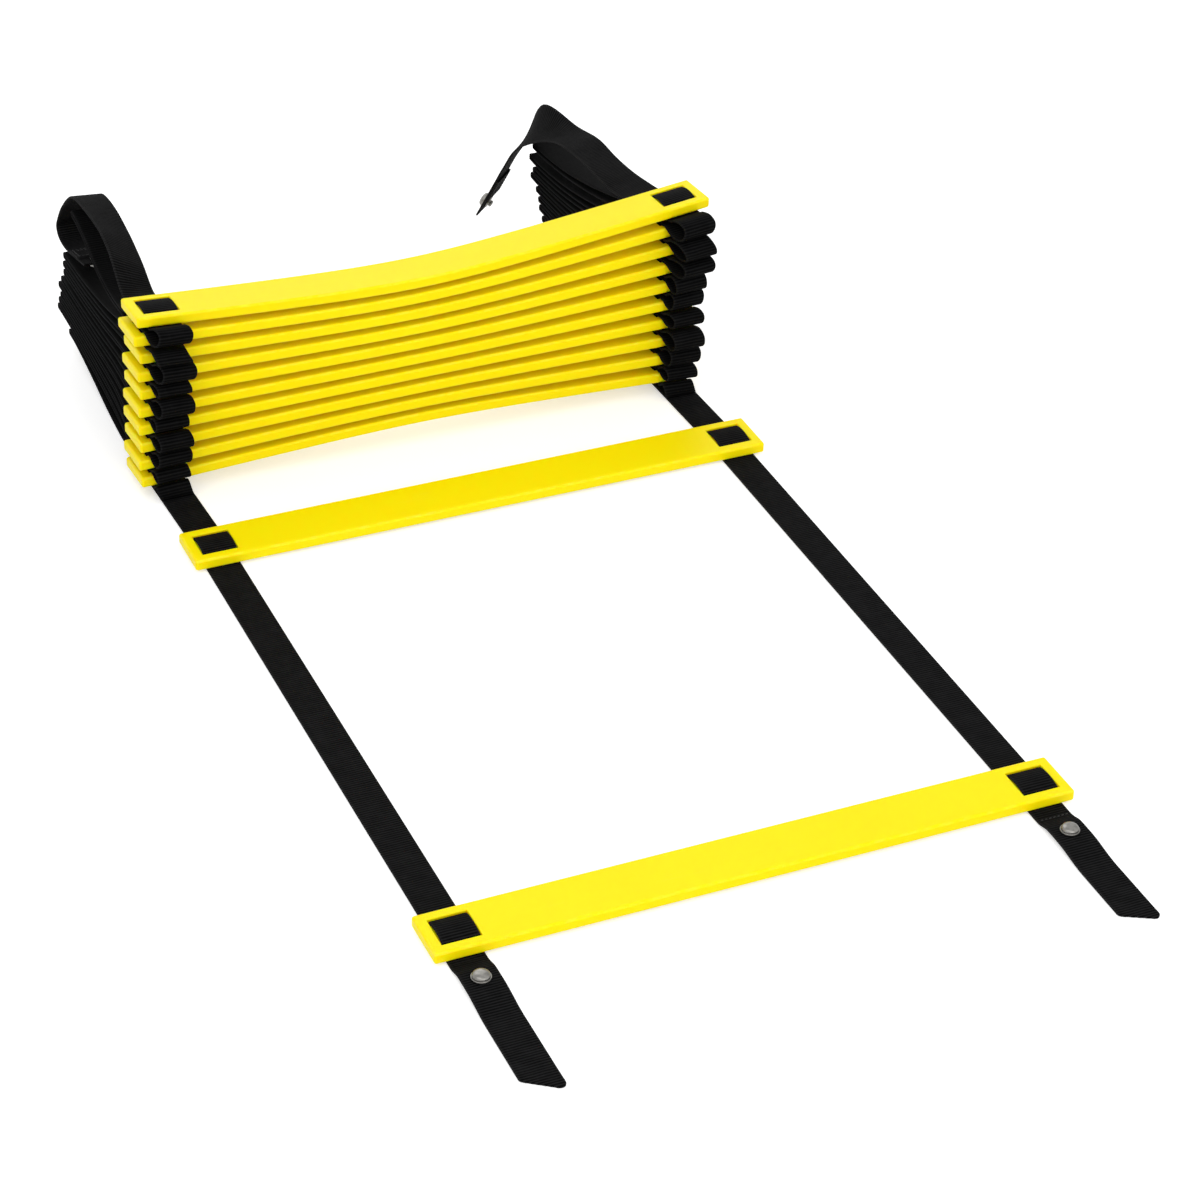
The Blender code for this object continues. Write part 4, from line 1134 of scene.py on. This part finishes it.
for name, side in SIDES.items():
    rows, outline, lowest = front_tail_rows(side)

    def tip_limits(places, rows=rows, left_side=outline[: lowest + 1], right_side=outline[lowest:][::-1]):
        y = np.interp(places, path_length(rows), rows[:, 1])
        return tuple(np.interp(-y, -line[:, 1], line[:, 0]) for line in (left_side, right_side))

    tail = webbing(
        f"{name}_front_tail_cloth", rows, FLAT_RIB, 1.0, spacing=TIP_RING_SPACING, limits=tip_limits
    )
    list(hinge_ends(side, TAIL_HINGE))
    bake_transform(tail)
    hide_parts(f"{name}_front_tail")

    pairs = [flat_pair(side, TAIL_HINGE + JOIN_BEHIND), flat_pair(side, RUNG_SPACING + HALF_WIDTH)]
    pairs += [edge_pair(side, y, FLAT, FLAT, STACK_SHIFT) for y in (0, BASE_RUN_BEHIND)]
    bay = webbing(f"{name}_bay_cloth", rows_of(pairs), FLAT_RIB)
    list(hinge_ends(side, BAY_HINGE))
    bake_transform(bay)
    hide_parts(f"{name}_bay_run", f"{name}_base_run")

    for number, line_y, body in ((1, 0.0, "first_rung"), (2, RUNG_SPACING, "second_rung")):
        path = window_path(False, **OPEN_TURN)
        pairs = [flat_pair(side, line_y + y, z + FLOOR_RUNG_HEIGHT) for y, z in path]
        turn_over = webbing(f"{name}_hump_{number:02d}_cloth", rows_of(pairs), FOLD_RIB, 0.1)
        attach(turn_over, body)
        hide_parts(f"{name}_hump_{number:02d}")
print("laid-out straps made")

# %% [markdown]
# ## Straps through the stack
#
# Each layer's fold is two strips. The first goes through the rung, round the long loop and back
# over the rung, and moves with that rung. The second is the roll in front, from that rung to the
# next one; the lowest roll moves with the stack's base, the others stay where they are made.

# %% Folds, rolls and rear tails
FOLD_STEP = 0.5

for name, side in SIDES.items():
    fold_lengths = []
    for layer in range(FIRST_STACKED - 1, RUNG_COUNT):
        body = "stack_base" if layer <= FIRST_STACKED else f"layer_{layer:02d}"
        if layer >= FIRST_STACKED:
            pairs = [on_layer(side, y, layer, z) for y, z in window_path(True)]
            pairs[-1] = on_layer(side, HALF_WIDTH, layer, UNDER)
            standing = side < 0 and layer == TOP_LOOP_LAYER
            pairs += standing_loop_pairs() if standing else loop_pairs(side, layer)
            pairs += [on_layer(side, HALF_WIDTH, layer, RETURN)]
        else:
            pairs = [on_layer(side, BASE_RUN_BEHIND + GAP, layer, 0, 0, FLAT)]
            pairs += loop_pairs(side, layer)
            pairs += [on_layer(side, HALF_WIDTH, layer, 0, 0, SECOND_FLAT)]
        inset = on_layer(side, -(HALF_WIDTH - UNDER_INSET), layer, RETURN)
        if layer < FIRST_STACKED:
            inset = on_layer(side, -(HALF_WIDTH - UNDER_INSET), layer, 0, 0, SECOND_FLAT)
        start = layer * FOLD_STEP
        rows = smoothed(rows_of(pairs + [inset]), 5)
        # The loops and rolls use the darker webbing: painted shade for the shade of the stack.
        loop = webbing(f"{name}_loop_{layer:02d}_cloth", rows, FOLD_RIB, start, material=FOLDED_PAINTED_SHADE)
        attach(loop, body)
        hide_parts(f"{name}_fold_{layer:02d}")
        loop_length = path_length(rows)[-1]
        rows = smoothed(rows_of([inset] + roll_pairs(side, layer)), 6)
        start += loop_length
        roll = webbing(f"{name}_roll_{layer:02d}_cloth", rows, FOLD_RIB, start, material=FOLDED_PAINTED_SHADE)
        fold_lengths.append(float(loop_length + path_length(rows)[-1]))
        if layer < FIRST_STACKED:
            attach(roll, body)
        else:
            x, y = side * STRAP_OFFSET, -HALF_WIDTH
            bottom = layer_height(layer, x, y) + RETURN
            top = layer_height(layer + 1, x, y) + UNDER
            front = np.array([x + layer_shift(layer), STACK_DISTANCE + y, 0]) + ZERO
            front + (0, 0, bottom)
            front + (0, 0, top)
            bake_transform(roll)
    pairs = [on_layer(side, y, RUNG_COUNT, z) for y, z in window_path(True, **OPEN_TURN)][:-1]
    rows = np.vstack([smoothed(rows_of(pairs), 4), rear_tail_rows(side)])
    tail = webbing(f"{name}_rear_tail_cloth", rows, TAIL_RIB, 7.0)
    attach(tail, f"layer_{RUNG_COUNT}")
    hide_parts(f"{name}_rear_tail")
    shortest, longest = (round(pick(fold_lengths), 3) for pick in (min, max))
    print(name, "folds hold", shortest, "to", longest, "m of strap each")
print("folds, rolls and rear tails made")

# %% [markdown]
# ## Hems and stitches
#
# Each rear end is turned back on itself for a few centimetres and sewn down before the snap goes
# in, so the end is two layers thick there. A row of stitches is a line in Geometry Nodes: it is
# resampled at the stitch pitch, and a short rounded stitch is set at each point along it. A row
# across the right front end keeps the turn under the first rung from slipping.


# %% Stitches
STITCH = {"Stitch Pitch": 0.0028, "Stitch Length": 0.0021, "Thread Radius": 0.00024}
THREAD_FLATNESS = 0.8


def stitch_tree():
    tree, nodes, inputs, result = new_tree("stitch row", STITCH)
    curve = nodes.node("GeometryNodeMeshToCurve", {}, inputs["Geometry"])
    spacing = {"Length": inputs["Stitch Pitch"]}
    points = nodes.node("GeometryNodeResampleCurve", {"mode": "LENGTH"}, curve, sockets=spacing)
    tangent = nodes.node("GeometryNodeInputTangent", {})
    turned_to = nodes.node("FunctionNodeAlignRotationToVector", {"axis": "X"}, sockets={"Vector": tangent})
    ball = nodes.node("GeometryNodeMeshUVSphere", {}, 10, 6, 1.0)
    radius = inputs["Thread Radius"]
    size = nodes.vector(inputs["Stitch Length"] / 2, radius, radius * THREAD_FLATNESS)
    sockets = {"Instance": ball, "Rotation": turned_to, "Scale": size}
    placed = nodes.node("GeometryNodeInstanceOnPoints", {}, points, sockets=sockets)
    end_tree(nodes, placed, THREAD, result)
    return tree


stitches = stitch_tree()


def stitch_row(name, lines, body):
    """Stitches along lines of points in the ladder's own coordinates."""
    points, edges = [], []
    for line in lines:
        edges += [(len(points) + i, len(points) + i + 1) for i in range(len(line) - 1)]
        points += [tuple(np.asarray(point) + ZERO) for point in line]
    mesh = bpy.data.meshes.new(name)
    mesh.from_pydata(points, edges, [])
    row = flattened(with_tree(linked(name, mesh), stitches, STITCH))
    row.data.shade_smooth()
    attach(row, body)


# %% Hems of the rear ends and the stitches on the front end
HEM_FIRST, HEM_LAST = 0.0380, 0.0150
HEM_LIFT = -(STRAP_THICKNESS + 0.0001)
HEM_ROW_SPACING = 0.001
THREAD_LIFT = 0.0001
SEAM_SHARES = (0.08, 0.92)
FRONT_SEAM_PLACE = 0.0100
FRONT_SEAM_REACH = 0.0088


def lifted_rows(rows, height):
    """The same rows moved along the strap's own normal."""
    return rows + np.tile(across_and_normal(rows)[1] * height, 2)


def across_rows(rows, shares):
    """Points along the rows at shares of the strap's width."""
    return rows[:, :3] + np.asarray(shares)[:, None] * (rows[:, 3:] - rows[:, :3])


for name, side in SIDES.items():
    rows, places = resampled(rear_tail_rows(side), HEM_ROW_SPACING)
    kept = (places > places[-1] - HEM_FIRST) & (places < places[-1] - HEM_LAST)
    hem = webbing(f"{name}_rear_hem", lifted_rows(rows, HEM_LIFT)[kept], TAIL_RIB, 8.0)
    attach(hem, f"layer_{RUNG_COUNT}")
    top = lifted_rows(rows, HEM_LIFT - FLAT - THREAD_LIFT)[kept]
    count = len(top)
    lines = [across_rows(top[2:-2], np.full(count - 4, share)) for share in SEAM_SHARES]
    shares = np.linspace(*SEAM_SHARES, 12)
    for index in (2, 5, count - 3):
        lines.append(across_rows(np.repeat(top[index : index + 1], len(shares), axis=0), shares))
    stitch_row(f"{name}_hem_stitches", lines, f"layer_{RUNG_COUNT}")

rows = front_tail_rows(1)[0]
seam_y = -(HALF_WIDTH + FRONT_SEAM_PLACE)
seam_height = float(np.interp(-seam_y, -rows[:, 1], rows[:, 2])) + FLAT + THREAD_LIFT
seam_x = STRAP_OFFSET + np.linspace(-FRONT_SEAM_REACH, FRONT_SEAM_REACH, 9)
line = [(x, seam_y, seam_height) for x in seam_x]
stitch_row("right_front_stitches", [line], "right_front_end")
print("hems made: 2, stitch rows: 3")

# %% [markdown]
# ## Snap fasteners
#
# A snap cap is a stamped disc: a low dome, a rolled rim and a flange that grips the strap. It is
# turned from an outline, as it would be on a lathe. The socket and the stud are turned rings.


# %% Turned pieces
TURNING_STEPS = 64


def turned(name, outline, frame_matrix):
    """The outline, (radius, height) points, spun about its axis and set in place."""
    shape = bmesh.new()
    points = [shape.verts.new((radius, 0, height)) for radius, height in outline]
    closed = outline[0][0] > 1e-6 and outline[-1][0] > 1e-6
    pairs = list(zip(points, points[1:])) + ([(points[-1], points[0])] if closed else [])
    lines = [shape.edges.new(pair) for pair in pairs]
    geometry = points + lines
    full = {"angle": math.tau, "steps": TURNING_STEPS, "use_merge": True}
    bmesh.ops.spin(shape, geom=geometry, axis=(0, 0, 1), cent=(0, 0, 0), **full)
    bmesh.ops.remove_doubles(shape, verts=shape.verts, dist=1e-7)
    bmesh.ops.recalc_face_normals(shape, faces=shape.faces)
    made = from_shape(name, shape, NICKEL)
    mesh = made.data
    point_field(mesh, "ring", [math.hypot(point.co.x, point.co.y) for point in mesh.vertices])
    mesh.transform(frame_matrix)
    mesh.shade_smooth()
    mesh.set_sharp_from_angle(angle=math.radians(50))
    return made


CAP_RADIUS, CAP_HEIGHT, CAP_RIM = 0.0063, 0.0042, 0.0010
POST_RADIUS = 0.0018


def cap_outline(post):
    """A cap's outline from the end of its post, out over the flange and rim, up to the dome's top."""
    radius, rim = CAP_RADIUS, CAP_RIM
    flange = [
        (0, -post), (POST_RADIUS - 0.0002, -post), (POST_RADIUS, -post + 0.0002),
        (POST_RADIUS, 0), (radius - 0.0003, 0),
    ]
    rolled_rim = [
        (radius - 0.0001, 0.00008), (radius, 0.0003), (radius, rim),
        (radius - 0.0001, rim + 0.0002), (radius - 0.00035, rim + 0.0003),
    ]
    dome_radius, dome_base = radius - 0.0007, rim + 0.0004
    groove = [(radius - 0.0009, rim + 0.0001), (radius - 0.0010, rim + 0.0003), (dome_radius, dome_base)]
    rise = CAP_HEIGHT - dome_base
    dome = [
        (dome_radius * math.cos(angle) ** 0.7, dome_base + rise * math.sin(angle) ** 0.8)
        for angle in np.radians((8, 18, 30, 42, 54, 66, 78, 85))
    ]
    return flange + rolled_rim + groove + dome + [(0, CAP_HEIGHT)]


SOCKET_OUTLINE = (
    (0.0027, 0.0002), (0.0029, 0), (0.0044, 0), (0.0049, 0.0002), (0.0052, 0.0007), (0.0052, 0.0017),
    (0.0049, 0.0022), (0.0044, 0.0024), (0.0030, 0.0024), (0.0027, 0.0022), (0.0029, 0.0012),
)
STUD_OUTLINE = (
    (0.0021, 0), (0.0048, 0), (0.0048, -0.00085), (0.0042, -0.00095), (0.0028, -0.0010), (0.0024, -0.0017),
    (0.00278, -0.00255), (0.0026, -0.0032), (0.0023, -0.0034), (0.0021, -0.0033),
)


def frame_at(point, across, along):
    """A turning frame on the strap: X across it, Z out of its face."""
    across = Vector(across).normalized()
    up = across.cross(Vector(along).normalized()).normalized()
    turn = Matrix((across, up.cross(across), up)).transposed().to_4x4()
    return Matrix.Translation(Vector(point) + Vector(ZERO)) @ turn


# %% Snaps in place
SEAT = FLAT + GAP
POST_IN_SOCKET = 0.0012
POST_IN_STUD = 0.0017
REAR_SNAP_INSET = 0.0085

for name, side in SIDES.items():
    snap = FRONT_TAILS[side][2]
    at_snap = frame_at((side * STRAP_OFFSET, -snap, SNAP_LIFT), (1, 0, 0), (0, 1, 0))
    rows = rear_tail_rows(side)
    last, before = rows[-1].reshape(2, 3), rows[-5].reshape(2, 3)
    along = Vector(last.mean(0) - before.mean(0)).normalized()
    at_end = frame_at(Vector(last.mean(0)) - along * REAR_SNAP_INSET, last[1] - last[0], along)
    front_body, rear_body = f"{name}_front_end", f"layer_{RUNG_COUNT}"
    for end, part, outline, place, height, body in (
        ("front", "cap", cap_outline(2 * SEAT + POST_IN_SOCKET), at_snap, SEAT, front_body),
        ("front", "socket", SOCKET_OUTLINE, at_snap, -SNAP_LIFT, front_body),
        ("rear", "cap", cap_outline(2 * SEAT + POST_IN_STUD), at_end, SEAT, rear_body),
        ("rear", "stud", STUD_OUTLINE, at_end, -SEAT, rear_body),
    ):
        piece = turned(f"{name}_{end}_{part}", outline, place @ Matrix.Translation((0, 0, height)))
        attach(piece, body)
        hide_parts(f"{name}_{end}_snap_{part}")
print("snaps made: 4 caps, 2 sockets, 2 studs")

# %% [markdown]
# ## Floor and light
#
# The photograph has a pure white ground with only a breath of shadow. The floor is a pale surface
# that is lit like anything else, plus a little light of its own that only the camera, mirrors and
# glass see: it lifts the floor to white and leaves the shadow in.


# %% Floor
FLOOR_GLOW = 0.46
FLOOR_REACH = 12
FLOOR_CLEARANCE = 0.0002


def white_floor():
    made, nodes, shader = new_material("white floor")
    constants = {"Base Color": (0.80, 0.80, 0.80, 1), "Roughness": 0.9, "Specular IOR Level": 0.0}
    feed(nodes, shader, constants, {})
    glow = nodes.node("ShaderNodeEmission", {}, (1, 1, 1, 1), nodes.seen() * FLOOR_GLOW)
    both = nodes.node("ShaderNodeAddShader", {}, None, glow)
    tree = made.node_tree
    tree.links.new(shader.outputs[0], both.socket.node.inputs[0])
    tree.links.new(both.socket, tree.nodes["Material Output"].inputs["Surface"])
    return made


shape = bmesh.new()
bmesh.ops.create_grid(shape, x_segments=2, y_segments=2, size=FLOOR_REACH)
floor = from_shape("floor", shape, white_floor())
floor.location.z = cad_box[0].z - FLOOR_CLEARANCE
print("floor at", round(floor.location.z, 4))

# %% [markdown]
# ## Lamps and world
#
# A product shot is lit by large soft sources. A wide box overhead at the front left gives the tops
# of the rungs their even light. A larger one stands far off in front and fills the rungs' front
# edges, a third behind the stack keeps the straps' outlines readable, and the world does the rest.


# %% Lamps and world
SOFT_BOXES = {
    "key": {"place": (-1.3, -1.2, 2.3), "aim": (0, 0, 0), "width": 2.2, "power": 16},
    "fill": {"place": (0.2, -4.2, 1.9), "aim": (0, 0, 0.05), "width": 3.0, "power": 55},
    "back": {"place": (0.3, 2.4, 1.9), "aim": (0, 0.2, 0), "width": 2.0, "power": 14},
}
WORLD_LIGHT, WORLD_WHITE = 0.80, 1.00

for name, box in SOFT_BOXES.items():
    data = bpy.data.lights.new(name, "AREA")
    data.shape, data.size, data.energy = "SQUARE", box["width"], box["power"]
    lamp = bpy.data.objects.new(name, data)
    bpy.context.scene.collection.objects.link(lamp)
    place = Vector(box["place"])
    lamp.location = place
    lamp.rotation_euler = (Vector(box["aim"]) - place).to_track_quat("-Z", "Y").to_euler()

world = bpy.data.worlds.new("studio")
world.use_nodes = True
bpy.context.scene.world = world
strength = WORLD_LIGHT + Nodes(world.node_tree).seen() * (WORLD_WHITE - WORLD_LIGHT)
background = world.node_tree.nodes["Background"]
background.inputs["Color"].default_value = (1, 1, 1, 1)
world.node_tree.links.new(strength.socket, background.inputs["Strength"])
print("soft boxes:", ", ".join(SOFT_BOXES))
